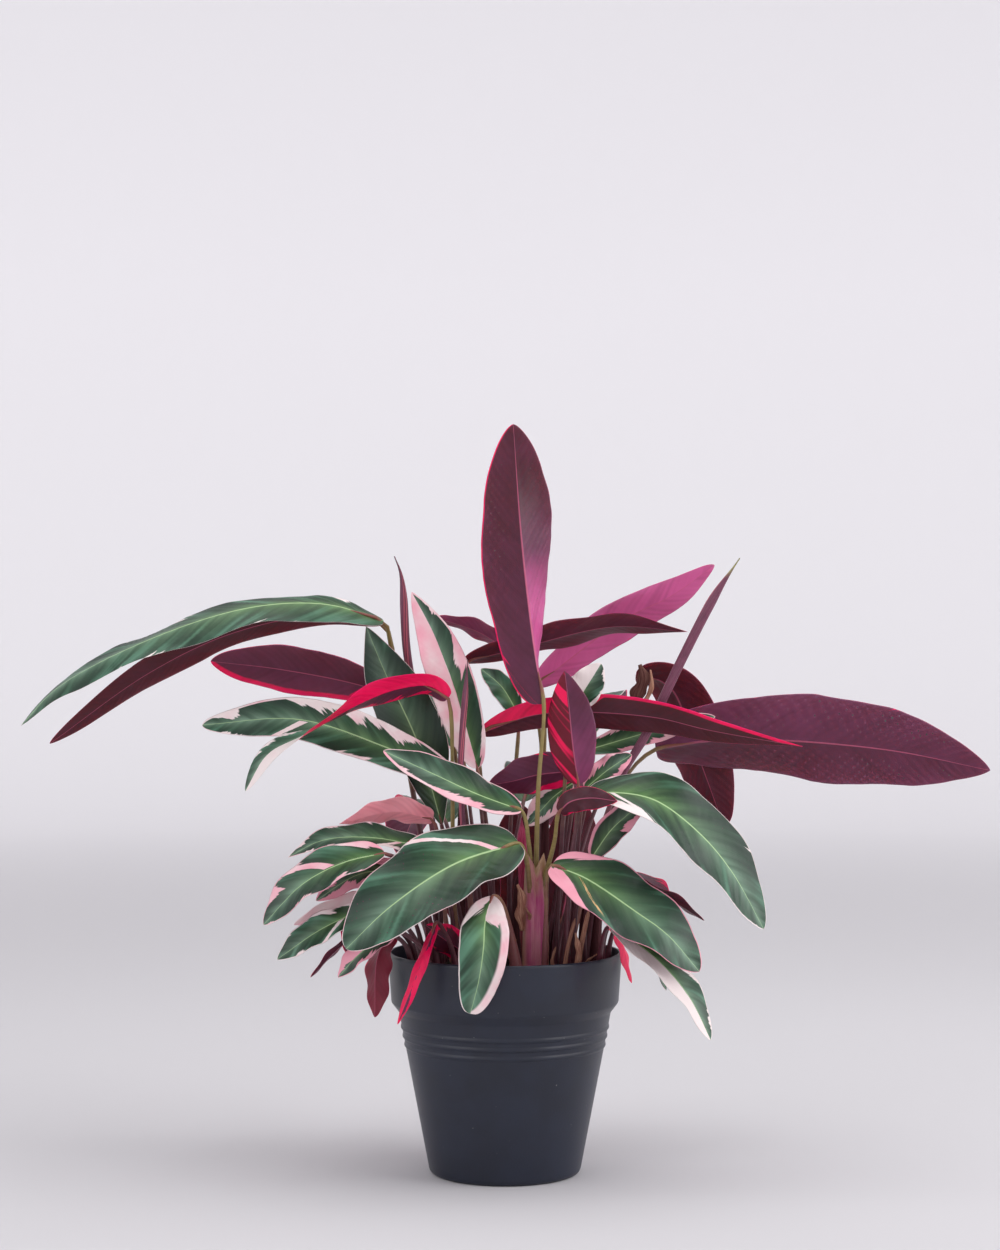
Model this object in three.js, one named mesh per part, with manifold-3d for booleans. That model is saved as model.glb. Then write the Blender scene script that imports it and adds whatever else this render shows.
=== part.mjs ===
// Stromanthe triostar in a plastic nursery pot.
// Millimetres, +Z up. The origin is the centre of the pot's underside; +X is to the plant's right
// and -Y is its front.
import * as THREE from 'three';
import { mergeVertices } from 'three/addons/utils/BufferGeometryUtils.js';
import Module from 'manifold-3d';

const wasm = await Module();
wasm.setup();

// ---------- driving dimensions ----------
const POT_HEIGHT = 160;
const POT_RIM_RADIUS = 85;
const POT_BASE_RADIUS = 54.5;
const POT_WALL = 1.8;
const POT_FLOOR = 2.5;
const POT_SIDES = 32;
const RIM_BAND_BOTTOM = 124; // lower edge of the collar
const RIM_BAND_RADIUS = 82.5; // collar radius at its lower edge
const SHOULDER_HEIGHT = 117; // top of the tapering wall
const SHOULDER_RADIUS = 77;
const RIB_HEIGHTS = [93, 99.5, 106]; // three raised rings round the wall
const RIB_PROUD = 0.8;
const DRAIN_COUNT = 6;
const DRAIN_RADIUS = 5;
const DRAIN_CIRCLE = 36;

const SOIL_TOP = 148;
const SOIL_DOME = 3; // how much higher the soil is round the stems
const GAP = 0.35; // between pieces that touch

const BLADE = 0.8; // leaf thickness
const STALK_RADIUS = 2.1;
const STALK_SIDES = 5;
const TIP_HALF_WIDTH = 0.7;
const STALK_STEPS = 5;
const RIB_SHARE = 0.12; // share of the blade that the stalk runs on under as a raised rib

const COLOURS = {
  maroon: 0x4b2837,
  purple: 0x55324d,
  mauve: 0xa85080,
  crimson: 0xb01848,
  green: 0x3c6e52,
  dark_green: 0x284840,
  pink: 0xe6aab4,
  cream: 0xe8d9c4,
  sheath: 0x963f6c,
  pot: 0x2d3038,
  soil: 0x2b211b,
};

// ---------- solids ----------
const vec = ([x, y, z]) => new THREE.Vector3(x, y, z);

function solidOf(geometry) {
  const bare = geometry.index ? geometry.toNonIndexed() : geometry.clone();
  bare.deleteAttribute('normal');
  bare.deleteAttribute('uv');
  const merged = mergeVertices(bare, 1e-4);
  return new wasm.Manifold(new wasm.Mesh({
    numProp: 3,
    vertProperties: merged.attributes.position.array,
    triVerts: new Uint32Array(merged.index.array),
  }));
}

function geometryOf(solid) {
  const mesh = solid.getMesh();
  const geometry = new THREE.BufferGeometry();
  geometry.setAttribute('position', new THREE.BufferAttribute(mesh.vertProperties, 3));
  geometry.setIndex(new THREE.BufferAttribute(mesh.triVerts, 1));
  geometry.computeVertexNormals();
  return geometry;
}

function closedGeometry(points, triangles) {
  const geometry = new THREE.BufferGeometry();
  geometry.setAttribute('position', new THREE.Float32BufferAttribute(points.flatMap((p) => p.toArray()), 3));
  geometry.setIndex(triangles);
  return geometry;
}

// Rings of points joined into a tube whose two ends are closed.
function tubeSolid(rings) {
  const sides = rings[0].length;
  const triangles = [];
  for (let i = 0; i < rings.length - 1; i += 1) {
    for (let j = 0; j < sides; j += 1) {
      const a = i * sides + j;
      const b = i * sides + (j + 1) % sides;
      triangles.push(a, b, b + sides, a, b + sides, a + sides);
    }
  }
  const last = (rings.length - 1) * sides;
  for (let j = 1; j < sides - 1; j += 1) {
    triangles.push(0, j + 1, j);
    triangles.push(last, last + j, last + j + 1);
  }
  return solidOf(closedGeometry(rings.flat(), triangles));
}

// Rings round a smooth path; radiusAt gives the radius from the start (0) to the end (1).
function ringsAlong(points, radiusAt, sides, steps) {
  const curve = new THREE.CatmullRomCurve3(points.map(vec), false, 'centripetal');
  const frames = curve.computeFrenetFrames(steps, false);
  return Array.from({ length: steps + 1 }, (_, i) => {
    const centre = curve.getPointAt(i / steps);
    const radius = radiusAt(i / steps);
    return Array.from({ length: sides }, (_, j) => {
      const turn = (2 * Math.PI * j) / sides;
      return centre.clone()
        .addScaledVector(frames.normals[i], radius * Math.cos(turn))
        .addScaledVector(frames.binormals[i], radius * Math.sin(turn));
    });
  });
}

// The hole that a tube's lowest rings need, wider all round and a little deeper.
function socketOf(rings, top) {
  const centres = rings.map((ring) => ring.reduce((sum, p) => sum.add(p), new THREE.Vector3())
    .divideScalar(ring.length));
  const above = centres.findIndex((centre) => centre.z > top);
  const count = above < 0 ? rings.length : above + 1;
  const widened = rings.slice(0, count).map((ring, i) => {
    const centre = centres[i];
    const radius = ring[0].distanceTo(centre);
    const scale = (radius + GAP / Math.cos(Math.PI / ring.length)) / radius;
    return ring.map((p) => p.clone().sub(centre).multiplyScalar(scale).add(centre));
  });
  const down = centres[0].clone().sub(centres[1]).normalize().multiplyScalar(GAP);
  widened[0] = widened[0].map((p) => p.add(down));
  return tubeSolid(widened);
}

// ---------- leaves ----------
// Half-width of the blade, 0 to 1, from its base (0) to its tip (1). The lower the two blunt
// values, the rounder its base and its tip.
function outline(t, widest, [bluntBase, bluntTip]) {
  const skew = Math.log(0.5) / Math.log(widest);
  return Math.sin(Math.PI * t ** skew) ** (bluntBase + (bluntTip - bluntBase) * t);
}

// A thin blade swept along its midrib. The upper side looks along face at the base and turns to
// tipFace at the tip. Each half leaves the midrib at its fold angle, which turns to tipFold, and
// the margin rises and falls in waves.
function bladeSolid(leaf) {
  const { rib, width, face, tipFace = face, fold = [12, 12], tipFold = fold } = leaf;
  const { wave = 1.5, waves = 3, widest = 0.46, blunt = [0.5, 0.62], steps = 8, strips = 2 } = leaf;
  const curve = new THREE.CatmullRomCurve3(rib.map(vec), false, 'centripetal');
  const across = [];
  for (let k = -strips; k <= strips; k += 1) across.push(k / strips);

  function place(t, u) {
    const along = curve.getTangentAt(t);
    const up = vec(face).lerp(vec(tipFace), t);
    up.addScaledVector(along, -up.dot(along)).normalize();
    const side = along.clone().cross(up);
    const half = Math.max(TIP_HALF_WIDTH, (width / 2) * outline(t, widest, blunt));
    const which = u < 0 ? 0 : 1;
    const angle = THREE.MathUtils.degToRad(THREE.MathUtils.lerp(fold[which], tipFold[which], t));
    const reach = Math.abs(u) * half;
    const ripple = wave * u * u * outline(t, widest, blunt)
      * Math.sin(2 * Math.PI * waves * t + (u < 0 ? 1.7 : 0));
    return curve.getPointAt(t)
      .addScaledVector(side, Math.sign(u) * reach * Math.cos(angle))
      .addScaledVector(up, reach * Math.sin(angle) + ripple);
  }

  function normalAt(t, u) {
    const d = 0.01;
    const t0 = Math.max(0, t - d);
    const t1 = Math.min(1, t + d);
    const u0 = Math.max(-1, u - 0.25);
    const u1 = Math.min(1, u + 0.25);
    const du = place(t, u1).sub(place(t, u0));
    const dt = place(t1, u).sub(place(t0, u));
    return du.cross(dt).normalize();
  }

  const upper = [];
  const lower = [];
  for (let i = 0; i <= steps; i += 1) {
    for (const u of across) {
      const t = i / steps;
      const middle = place(t, u);
      const normal = normalAt(t, u);
      upper.push(middle.clone().addScaledVector(normal, BLADE / 2));
      lower.push(middle.clone().addScaledVector(normal, -BLADE / 2));
    }
  }
  const columns = across.length;
  const under = upper.length;
  const triangles = [];
  const quad = (a, b, c, d) => triangles.push(a, b, c, a, c, d);
  for (let i = 0; i < steps; i += 1) {
    for (let j = 0; j < columns - 1; j += 1) {
      const a = i * columns + j;
      const b = a + 1;
      const c = b + columns;
      const d = a + columns;
      triangles.push(a, b, c, a, c, d);
      triangles.push(a + under, c + under, b + under, a + under, d + under, c + under);
    }
    const left = i * columns;
    const right = left + columns - 1;
    quad(left, left + columns, left + columns + under, left + under);
    quad(right, right + under, right + columns + under, right + columns);
  }
  const end = steps * columns;
  for (let j = 0; j < columns - 1; j += 1) {
    quad(j, j + under, j + 1 + under, j + 1);
    quad(end + j, end + j + 1, end + j + 1 + under, end + j + under);
  }
  return solidOf(closedGeometry([...upper, ...lower], triangles));
}

// The stalk, carried on under the blade as its raised rib.
function stalkRings(leaf) {
  const { rib, stalk, face, thick = STALK_RADIUS } = leaf;
  const curve = new THREE.CatmullRomCurve3(rib.map(vec), false, 'centripetal');
  const under = vec(face).normalize().multiplyScalar(-0.8);
  const last = curve.getPointAt(RIB_SHARE).add(under).toArray();
  const path = [...stalk, vec(rib[0]).add(under).toArray(), last];
  const slim = (s) => thick + (1.1 - thick) * s;
  return ringsAlong(path, slim, STALK_SIDES, STALK_STEPS);
}

// A leaf still rolled up into a spear: a slim closed roll that swells above its stalk.
function spearRings(spear) {
  const { path, radius, swell = 0.6, steps = 9 } = spear;
  const shape = (s) => {
    const rolled = THREE.MathUtils.smoothstep(s, swell - 0.2, swell);
    const tip = 1 - THREE.MathUtils.smoothstep(s, 0.9, 1) * 0.8;
    return (STALK_RADIUS + (radius - STALK_RADIUS) * rolled) * tip;
  };
  return ringsAlong(path, shape, 7, steps);
}

// ---------- the leaves, one by one ----------
const LARGE = { steps: 11, strips: 2 };
const SMALL = { steps: 7, strips: 1 };

const LEAVES = [
  { name: 'leaf_tall_center', colour: 'maroon', holder: 'sheath_main', ...LARGE,
    stalk: [[22, -22, 208], [24, -20, 280]],
    rib: [[28, -16, 340], [21, -12, 382], [12, -8, 459], [6, 0, 543]],
    width: 60, face: [0, 1, 0], fold: [100, 0], tipFold: [0, 0], wave: 1.5, widest: 0.5,
    blunt: [0.3, 0.62] },
  { name: 'leaf_right_big', colour: 'purple', ...LARGE,
    stalk: [[56, 14, 122], [64, 20, 180], [77, 36, 250], [93, 52, 287]],
    rib: [[113, 60, 304], [150, 60, 310], [200, 60, 311], [290, 60, 303], [364, 60, 288]],
    width: 72, face: [0, 0.95, 0.3], fold: [32, 4], tipFold: [4, 0], wave: 2, widest: 0.48,
    blunt: [0.3, 0.72] },
  { name: 'leaf_left_big_upper', colour: 'green', ...LARGE,
    stalk: [[-40, 30, 122], [-55, 34, 200], [-78, 34, 330], [-85, 32, 385]],
    rib: [[-89, 20, 400], [-130, 8, 412], [-184, 4, 410], [-255, 4, 388], [-324, 0, 352],
      [-351, -4, 324]],
    width: 44, face: [0, -0.2, 1], fold: [-32, 10], tipFold: [-24, 0], wave: 2, blunt: [0.4, 0.75] },
  { name: 'leaf_left_big_lower', colour: 'maroon', ...LARGE,
    stalk: [[-36, 44, 122], [-58, 46, 220], [-80, 46, 340]],
    rib: [[-90, 42, 398], [-140, 34, 404], [-202, 30, 391], [-262, 26, 362], [-334, 18, 310]],
    width: 30, face: [0, 0.7, 0.7], fold: [4, 4], wave: 1 },
  { name: 'leaf_left_mauve', colour: 'mauve',
    stalk: [[-26, 40, 122], [-48, 56, 220], [-66, 58, 314]],
    rib: [[-76, 56, 340], [-108, 54, 352], [-168, 52, 364], [-219, 46, 370]],
    width: 38, face: [0, 0.95, 0.3], fold: [8, 8], widest: 0.55, blunt: [0.5, 0.6] },
  { name: 'leaf_left_dark', colour: 'dark_green',
    stalk: [[-22, 12, 122], [-34, 14, 190]],
    rib: [[-46, 18, 249], [-64, 22, 310], [-90, 24, 366], [-102, 20, 396]],
    width: 46, face: [0.25, -0.95, 0.1], fold: [14, 14], wave: 2, widest: 0.52, blunt: [0.8, 0.85] },
  { name: 'leaf_left_red', colour: 'crimson',
    stalk: [[-30, -10, 122], [-37, -9, 200], [-38, -8, 288], [-39, -8, 332]],
    rib: [[-41, -9, 344], [-54, -10, 353], [-78, -11, 351], [-106, -15, 340], [-146, -22, 317],
      [-170, -25, 304], [-186, -27, 278]],
    width: 28, face: [0, 1.7, 1.2], tipFace: [-0.2, -1.1, 0.85], fold: [6, 6], blunt: [0.3, 0.6] },
  { name: 'leaf_left_long', colour: 'green',
    stalk: [[-14, 4, 122], [-24, 3, 220]],
    rib: [[-36, 2, 286], [-84, 2, 307], [-150, 6, 328], [-221, 8, 324]],
    width: 36, face: [0, -0.9, 0.4], fold: [8, 8], wave: 1.5, blunt: [0.5, 0.48] },
  { name: 'leaf_left_diagonal', colour: 'green', holder: 'sheath_main', ...SMALL,
    stalk: [[19, -26, 208], [17, -27, 240]],
    rib: [[12, -27, 264], [-20, -30, 276], [-52, -34, 291], [-87, -32, 307]],
    width: 30, face: [0, -0.8, 0.6] },
  { name: 'leaf_left_pink', colour: 'pink',
    stalk: [[-4, -8, 122], [-10, -6, 200], [-17, -3, 260]],
    rib: [[-20, -2, 293], [-37, 2, 350], [-52, 4, 390], [-68, 6, 421]],
    width: 34, face: [0, -1, 0], fold: [12, 12], wave: 2, blunt: [0.5, 0.75] },
  { name: 'leaf_back_purple', colour: 'purple',
    stalk: [[-20, 30, 122], [-30, 32, 240], [-38, 32, 345]],
    rib: [[-30, 30, 370], [10, 30, 380], [80, 32, 396], [135, 34, 392]],
    width: 32, face: [0, 0.6, 0.8], fold: [8, 8], blunt: [0.4, 0.9] },
  { name: 'leaf_back_mauve', colour: 'mauve',
    stalk: [[24, 40, 122], [27, 50, 220], [27, 58, 310]],
    rib: [[22, 62, 351], [89, 62, 401], [125, 60, 419], [157, 58, 442]],
    width: 34, face: [-0.3, 0.9, 0.3], fold: [6, 6], blunt: [0.5, 0.6] },
  { name: 'leaf_center_striped', colour: 'crimson',
    stalk: [[38, -16, 122], [46, -15, 200]],
    rib: [[53, -14, 282], [49, -15, 310], [46, -16, 340], [43, -16, 364]],
    width: 36, face: [0.1, 1, 0], fold: [10, 10], wave: 1, blunt: [0.5, 0.8] },
  { name: 'leaf_cream_tip', colour: 'cream', ...SMALL,
    stalk: [[34, -6, 122], [40, -6, 220], [46, -2, 315]],
    rib: [[50, 3, 336], [58, 3, 350], [70, 2, 369]],
    width: 25, face: [0, -1, 0.1], wave: 1, blunt: [0.5, 0.6] },
  { name: 'leaf_long_crimson', colour: 'crimson', ...LARGE,
    stalk: [[-6, 10, 122], [-10, 12, 220], [-18, 12, 290]],
    rib: [[-18, 13, 318], [26, 14, 332], [106, 14, 330], [150, 14, 320], [218, 14, 308]],
    width: 28, face: [0, 0.9, 0.4], fold: [4, 4], wave: 1, widest: 0.4, blunt: [0.5, 1] },
  { name: 'leaf_right_hanging', colour: 'maroon',
    stalk: [[32, 44, 122], [62, 76, 240], [94, 94, 315]],
    rib: [[101, 98, 352], [111, 98, 357], [128, 100, 348], [145, 102, 306], [168, 102, 243]],
    width: 50, face: [0, 0.6, 0.8], tipFace: [0.5, 0.9, 0], blunt: [0.5, 0.45] },
  { name: 'leaf_mid_green', colour: 'green', ...SMALL,
    stalk: [[24, 22, 122], [42, 36, 220]],
    rib: [[57, 38, 303], [91, 38, 313], [126, 38, 323], [156, 38, 329]],
    width: 22, face: [0, -0.9, 0.4] },
  { name: 'leaf_mid_small', colour: 'dark_green', ...SMALL,
    stalk: [[44, -8, 122], [52, -6, 220]], rib: [[58, -4, 278], [75, -3, 292], [92, -2, 303]],
    width: 20, face: [0, -0.9, 0.4] },
  { name: 'leaf_front_right_upper', colour: 'green', ...LARGE,
    stalk: [[44, -34, 122], [45, -37, 200], [50, -37, 250]],
    rib: [[58, -38, 277], [80, -45, 278], [106, -51, 273], [136, -56, 251], [159, -58, 224],
      [182, -60, 183]],
    width: 52, face: [0.1, -0.6, 0.8], tipFace: [0.55, -0.8, 0.35], fold: [10, 10], wave: 2,
    blunt: [0.5, 0.62] },
  { name: 'leaf_center_dark', colour: 'purple', ...SMALL,
    stalk: [[40, 22, 122], [50, 20, 220], [60, 12, 276]],
    rib: [[56, 8, 291], [25, 8, 288], [5, 8, 283], [-12, 8, 280]],
    width: 32, face: [0, 0.9, 0.4] },
  { name: 'leaf_center_variegated', colour: 'cream', ...SMALL,
    stalk: [[30, 30, 122], [44, 32, 220]], rib: [[50, 30, 280], [36, 30, 270], [17, 28, 249]],
    width: 22, face: [0, -0.9, 0.4] },
  { name: 'leaf_back_small', colour: 'green', ...SMALL,
    stalk: [[4, 44, 122], [4, 58, 240]], rib: [[10, 68, 330], [-2, 72, 350], [-18, 76, 364]],
    width: 20, face: [0, -0.9, 0.4] },
  { name: 'leaf_back_sliver', colour: 'mauve', ...SMALL,
    stalk: [[18, 54, 122], [26, 70, 250], [29, 78, 336]],
    rib: [[16, 82, 366], [-16, 86, 390], [-52, 88, 403]],
    width: 24, face: [0, 0.6, 0.8] },
  { name: 'leaf_mid_right_dark', colour: 'dark_green', ...SMALL,
    stalk: [[48, -24, 122], [52, -26, 200]],
    rib: [[62, -26, 230], [76, -27, 250], [91, -28, 264], [102, -28, 275]],
    width: 22, face: [0, -0.9, 0.4] },
  { name: 'leaf_center_cupped', colour: 'maroon', holder: 'sheath_main', ...SMALL,
    stalk: [[26, -28, 208], [35, -38, 242]],
    rib: [[38, -47, 264], [46, -53, 272], [60, -57, 275], [79, -61, 273]],
    width: 18, face: [0, 0.9, -0.2], blunt: [0.3, 0.8] },
  { name: 'leaf_front_right_mid', colour: 'green', ...LARGE,
    stalk: [[28, -42, 122], [29, -46, 190]],
    rib: [[33, -50, 227], [56, -60, 219], [92, -72, 196], [113, -78, 181], [135, -82, 156]],
    width: 52, face: [0.2, -0.75, 0.6], fold: [8, 8], wave: 2, blunt: [0.4, 0.6] },
  { name: 'leaf_right_maroon_tip', colour: 'maroon', ...SMALL,
    stalk: [[56, -16, 122], [58, -24, 190]],
    rib: [[64, -32, 215], [90, -40, 211], [118, -52, 202], [140, -62, 189]],
    width: 24, face: [0, 0.5, 0.85] },
  { name: 'leaf_low_right_hanging', colour: 'green',
    stalk: [[66, -35, 122], [68, -42, 166]],
    rib: [[74, -57, 185], [105, -70, 164], [128, -76, 138], [143, -80, 108]],
    width: 28, face: [0.5, -0.7, 0.5] },
  { name: 'leaf_low_right_maroon', colour: 'maroon', ...SMALL,
    stalk: [[73, -18, 122], [75, -22, 166]], rib: [[82, -32, 186], [100, -42, 166], [114, -48, 138]],
    width: 22, face: [0.7, -0.2, 0.7] },
  { name: 'leaf_low_right_crimson', colour: 'crimson', ...SMALL,
    stalk: [[70, 2, 122], [71, 0, 162]], rib: [[75, -8, 179], [83, -16, 170], [91, -24, 140]],
    width: 13, face: [-0.8, 0.4, -0.5], wave: 0.8 },
  { name: 'leaf_front_left_big', colour: 'green', holder: 'sheath_main', ...LARGE,
    stalk: [[18, -31, 206], [15, -37, 230]],
    rib: [[10, -41, 242], [-36, -66, 229], [-80, -84, 201], [-110, -92, 173]],
    width: 66, face: [-0.2, -0.75, 0.6], fold: [8, 8], wave: 2, blunt: [0.4, 0.5] },
  { name: 'leaf_front_center_small', colour: 'green', thick: 4,
    stalk: [[10, -44, 122], [8, -44, 152], [3, -46, 182], [-3, -54, 202]],
    rib: [[-9, -66, 207], [-14, -86, 190], [-15, -96, 174], [-18, -98, 153], [-24, -98, 129]],
    width: 35, face: [0, -0.5, 0.9], tipFace: [0, -1, -0.2], fold: [10, 10], blunt: [0.7, 0.4] },
  { name: 'leaf_low_left_first', colour: 'green', ...SMALL,
    stalk: [[-34, -22, 122], [-40, -24, 200]],
    rib: [[-53, -28, 237], [-96, -32, 245], [-130, -32, 243], [-155, -32, 231]],
    width: 26, face: [0, -0.6, 0.8], blunt: [0.5, 0.8] },
  { name: 'leaf_left_salmon', colour: 'pink', ...SMALL,
    stalk: [[-46, -6, 122], [-47, -6, 200]], rib: [[-52, -6, 256], [-80, -8, 262], [-120, -10, 253]],
    width: 24, face: [0, 0.8, 0.6], widest: 0.36, blunt: [0.4, 1] },
  { name: 'leaf_low_left_second', colour: 'green',
    stalk: [[-46, -32, 122], [-54, -40, 190], [-70, -50, 226]],
    rib: [[-85, -54, 236], [-115, -57, 229], [-143, -59, 214], [-170, -60, 186]],
    width: 36, face: [-0.2, -0.7, 0.7], blunt: [0.5, 0.6] },
  { name: 'leaf_low_left_third', colour: 'pink', ...SMALL,
    stalk: [[-54, -12, 122], [-58, -16, 190]], rib: [[-70, -20, 222], [-105, -26, 218], [-135, -32, 200]],
    width: 24, face: [0, -0.8, 0.6] },
  { name: 'leaf_low_left_pale', colour: 'cream', ...SMALL,
    stalk: [[-56, -28, 122], [-62, -31, 178]], rib: [[-75, -34, 203], [-112, -38, 197], [-150, -42, 184]],
    width: 18, face: [0, -0.8, 0.6] },
  { name: 'leaf_low_left_fifth', colour: 'green', ...SMALL,
    stalk: [[-54, -42, 122], [-64, -48, 175], [-84, -55, 195]],
    rib: [[-100, -58, 197], [-131, -62, 182], [-160, -64, 162]],
    width: 25, face: [-0.2, -0.8, 0.6] },
  { name: 'leaf_low_left_curl', colour: 'maroon', ...SMALL,
    stalk: [[-62, -32, 122], [-72, -36, 170]], rib: [[-92, -40, 181], [-115, -42, 170], [-138, -46, 147]],
    width: 12, face: [0, 0.4, 0.9], wave: 0.8 },
  { name: 'leaf_low_left_salmon', colour: 'dark_green', ...SMALL,
    stalk: [[-46, -52, 122], [-58, -57, 168]], rib: [[-76, -63, 182], [-100, -67, 168], [-117, -68, 150]],
    width: 20, face: [-0.3, -0.7, 0.6] },
  { name: 'leaf_low_left_hanging', colour: 'maroon', ...SMALL,
    stalk: [[-62, -20, 122], [-66, -21, 164]], rib: [[-78, -25, 178], [-90, -30, 162], [-93, -34, 117]],
    width: 26, face: [0.5, 0.3, -0.8], tipFace: [0.6, 0.8, 0] },
  { name: 'leaf_low_front_crimson', colour: 'crimson', ...SMALL,
    stalk: [[-32, -50, 122], [-38, -56, 170]],
    rib: [[-48, -66, 188], [-57, -78, 166], [-66, -81, 142], [-75, -80, 119]],
    width: 10, face: [0.3, 0.6, -0.7], tipFace: [0.5, 0.8, 0], wave: 0.8 },
  { name: 'leaf_low_front_magenta', colour: 'crimson', ...SMALL,
    stalk: [[-14, -36, 122], [-16, -38, 148]], rib: [[-24, -42, 162], [-40, -45, 172], [-56, -46, 184]],
    width: 24, face: [0, 0.9, 0.4] },
  { name: 'leaf_rear_left', colour: 'green', ...LARGE,
    stalk: [[-26, 54, 122], [-36, 60, 220]],
    rib: [[-44, 68, 248], [-54, 110, 260], [-70, 160, 248], [-86, 205, 212]],
    width: 54, face: [0, 0, 1], tipFace: [-0.2, 0.6, 0.8], wave: 2.5, blunt: [0.5, 0.8] },
  { name: 'leaf_rear_center', colour: 'green', ...LARGE,
    stalk: [[0, 60, 122], [6, 74, 220]],
    rib: [[14, 90, 262], [24, 130, 284], [38, 180, 268], [52, 228, 218]],
    width: 56, face: [0, 0, 1], tipFace: [0.1, 0.7, 0.7], wave: 2.5, blunt: [0.5, 0.8] },
  { name: 'leaf_rear_right', colour: 'green',
    stalk: [[50, 40, 122], [64, 54, 190]],
    rib: [[80, 72, 212], [98, 104, 204], [112, 134, 184], [120, 158, 156]],
    width: 46, face: [0.2, 0, 1], tipFace: [0.5, 0.6, 0.6] },
  { name: 'leaf_rear_low', colour: 'green',
    stalk: [[-14, 62, 122], [-16, 76, 170]],
    rib: [[-18, 92, 186], [-20, 118, 180], [-22, 138, 158], [-24, 150, 124]],
    width: 42, face: [0, 0.2, 1], tipFace: [0, 0.9, 0.4] },
  { name: 'leaf_rear_low_left', colour: 'green',
    stalk: [[-50, 42, 122], [-60, 52, 172]],
    rib: [[-74, 64, 192], [-92, 80, 190], [-108, 96, 172], [-120, 108, 144]],
    width: 40, face: [-0.2, 0, 1], tipFace: [-0.6, 0.6, 0.5] },
  { name: 'leaf_rear_upper_right', colour: 'green',
    stalk: [[36, 56, 122], [44, 76, 240]],
    rib: [[52, 96, 300], [62, 126, 330], [76, 160, 342], [92, 200, 330]],
    width: 44, face: [0, -0.4, 0.9], tipFace: [0, 0.2, 1] },
  { name: 'leaf_rear_upper_left', colour: 'maroon',
    stalk: [[-12, 46, 122], [-24, 68, 240]],
    rib: [[-32, 88, 298], [-42, 118, 330], [-54, 156, 340], [-68, 196, 322]],
    width: 44, face: [0, -0.4, 0.9], tipFace: [0, 0.2, 1] },
  { name: 'leaf_inner_left', colour: 'maroon',
    stalk: [[-18, 60, 122], [-19, 64, 148]],
    rib: [[-20, 69, 166], [-26, 74, 196], [-30, 76, 222], [-34, 77, 244]],
    width: 48, face: [0, 0.9, 0.3], wave: 1, blunt: [0.4, 0.7] },
  { name: 'leaf_inner_center', colour: 'maroon',
    stalk: [[12, 66, 122], [13, 72, 150]],
    rib: [[14, 78, 168], [14, 90, 200], [12, 98, 232], [9, 103, 262]],
    width: 50, face: [0, 0.9, 0.3], wave: 1, blunt: [0.4, 0.7] },
  { name: 'leaf_inner_right', colour: 'maroon',
    stalk: [[34, 60, 122], [37, 66, 148]],
    rib: [[41, 70, 166], [48, 79, 200], [52, 86, 236], [54, 89, 272]],
    width: 46, face: [0, 0.9, 0.3], wave: 1, blunt: [0.4, 0.7] },
];

const SPEARS = [
  { name: 'spear_left', colour: 'purple', radius: 3.4,
    path: [[-34, 18, 122], [-50, 34, 220], [-65, 38, 329], [-73, 38, 376], [-80, 38, 420],
      [-83, 38, 448]] },
  { name: 'spear_middle', colour: 'purple', radius: 2.5,
    path: [[-16, -20, 122], [-25, -18, 200], [-32, -15, 285], [-27, -14, 372]] },
  { name: 'spear_right', colour: 'purple', radius: 3.8,
    path: [[40, 4, 122], [62, 10, 220], [87, 24, 287], [104, 27, 316], [129, 22, 369], [155, 16, 420],
      [172, 14, 446]] },
  { name: 'spear_young', colour: 'crimson', radius: 4, swell: 0.4, steps: 6,
    path: [[14, -8, 122], [14, -9, 185], [12, -12, 258]] },
];

// ---------- sheath, pot and soil ----------
const SHEATHS = [
  { name: 'sheath_main', layers: [
    [22, -24, 122, 9.5, 8], [22, -24, 165, 9.5, 8], [22, -25, 200, 9, 8], [22, -27, 224, 8, 7],
      [22, -28, 234, 6, 5]] },
];

function sheathRings({ layers }) {
  const sides = 12;
  return layers.map(([x, y, z, wide, deep]) => Array.from({ length: sides }, (_, j) => {
    const turn = (2 * Math.PI * j) / sides;
    return new THREE.Vector3(x + wide * Math.cos(turn), y + deep * Math.sin(turn), z);
  }));
}

function wallRadius(z) {
  return POT_BASE_RADIUS + (SHOULDER_RADIUS - POT_BASE_RADIUS) * (z / SHOULDER_HEIGHT);
}

function lathe(profile, sides) {
  const geometry = new THREE.LatheGeometry(profile.map(([r, z]) => new THREE.Vector2(r, z)), sides);
  return solidOf(geometry.rotateX(Math.PI / 2));
}

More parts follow.
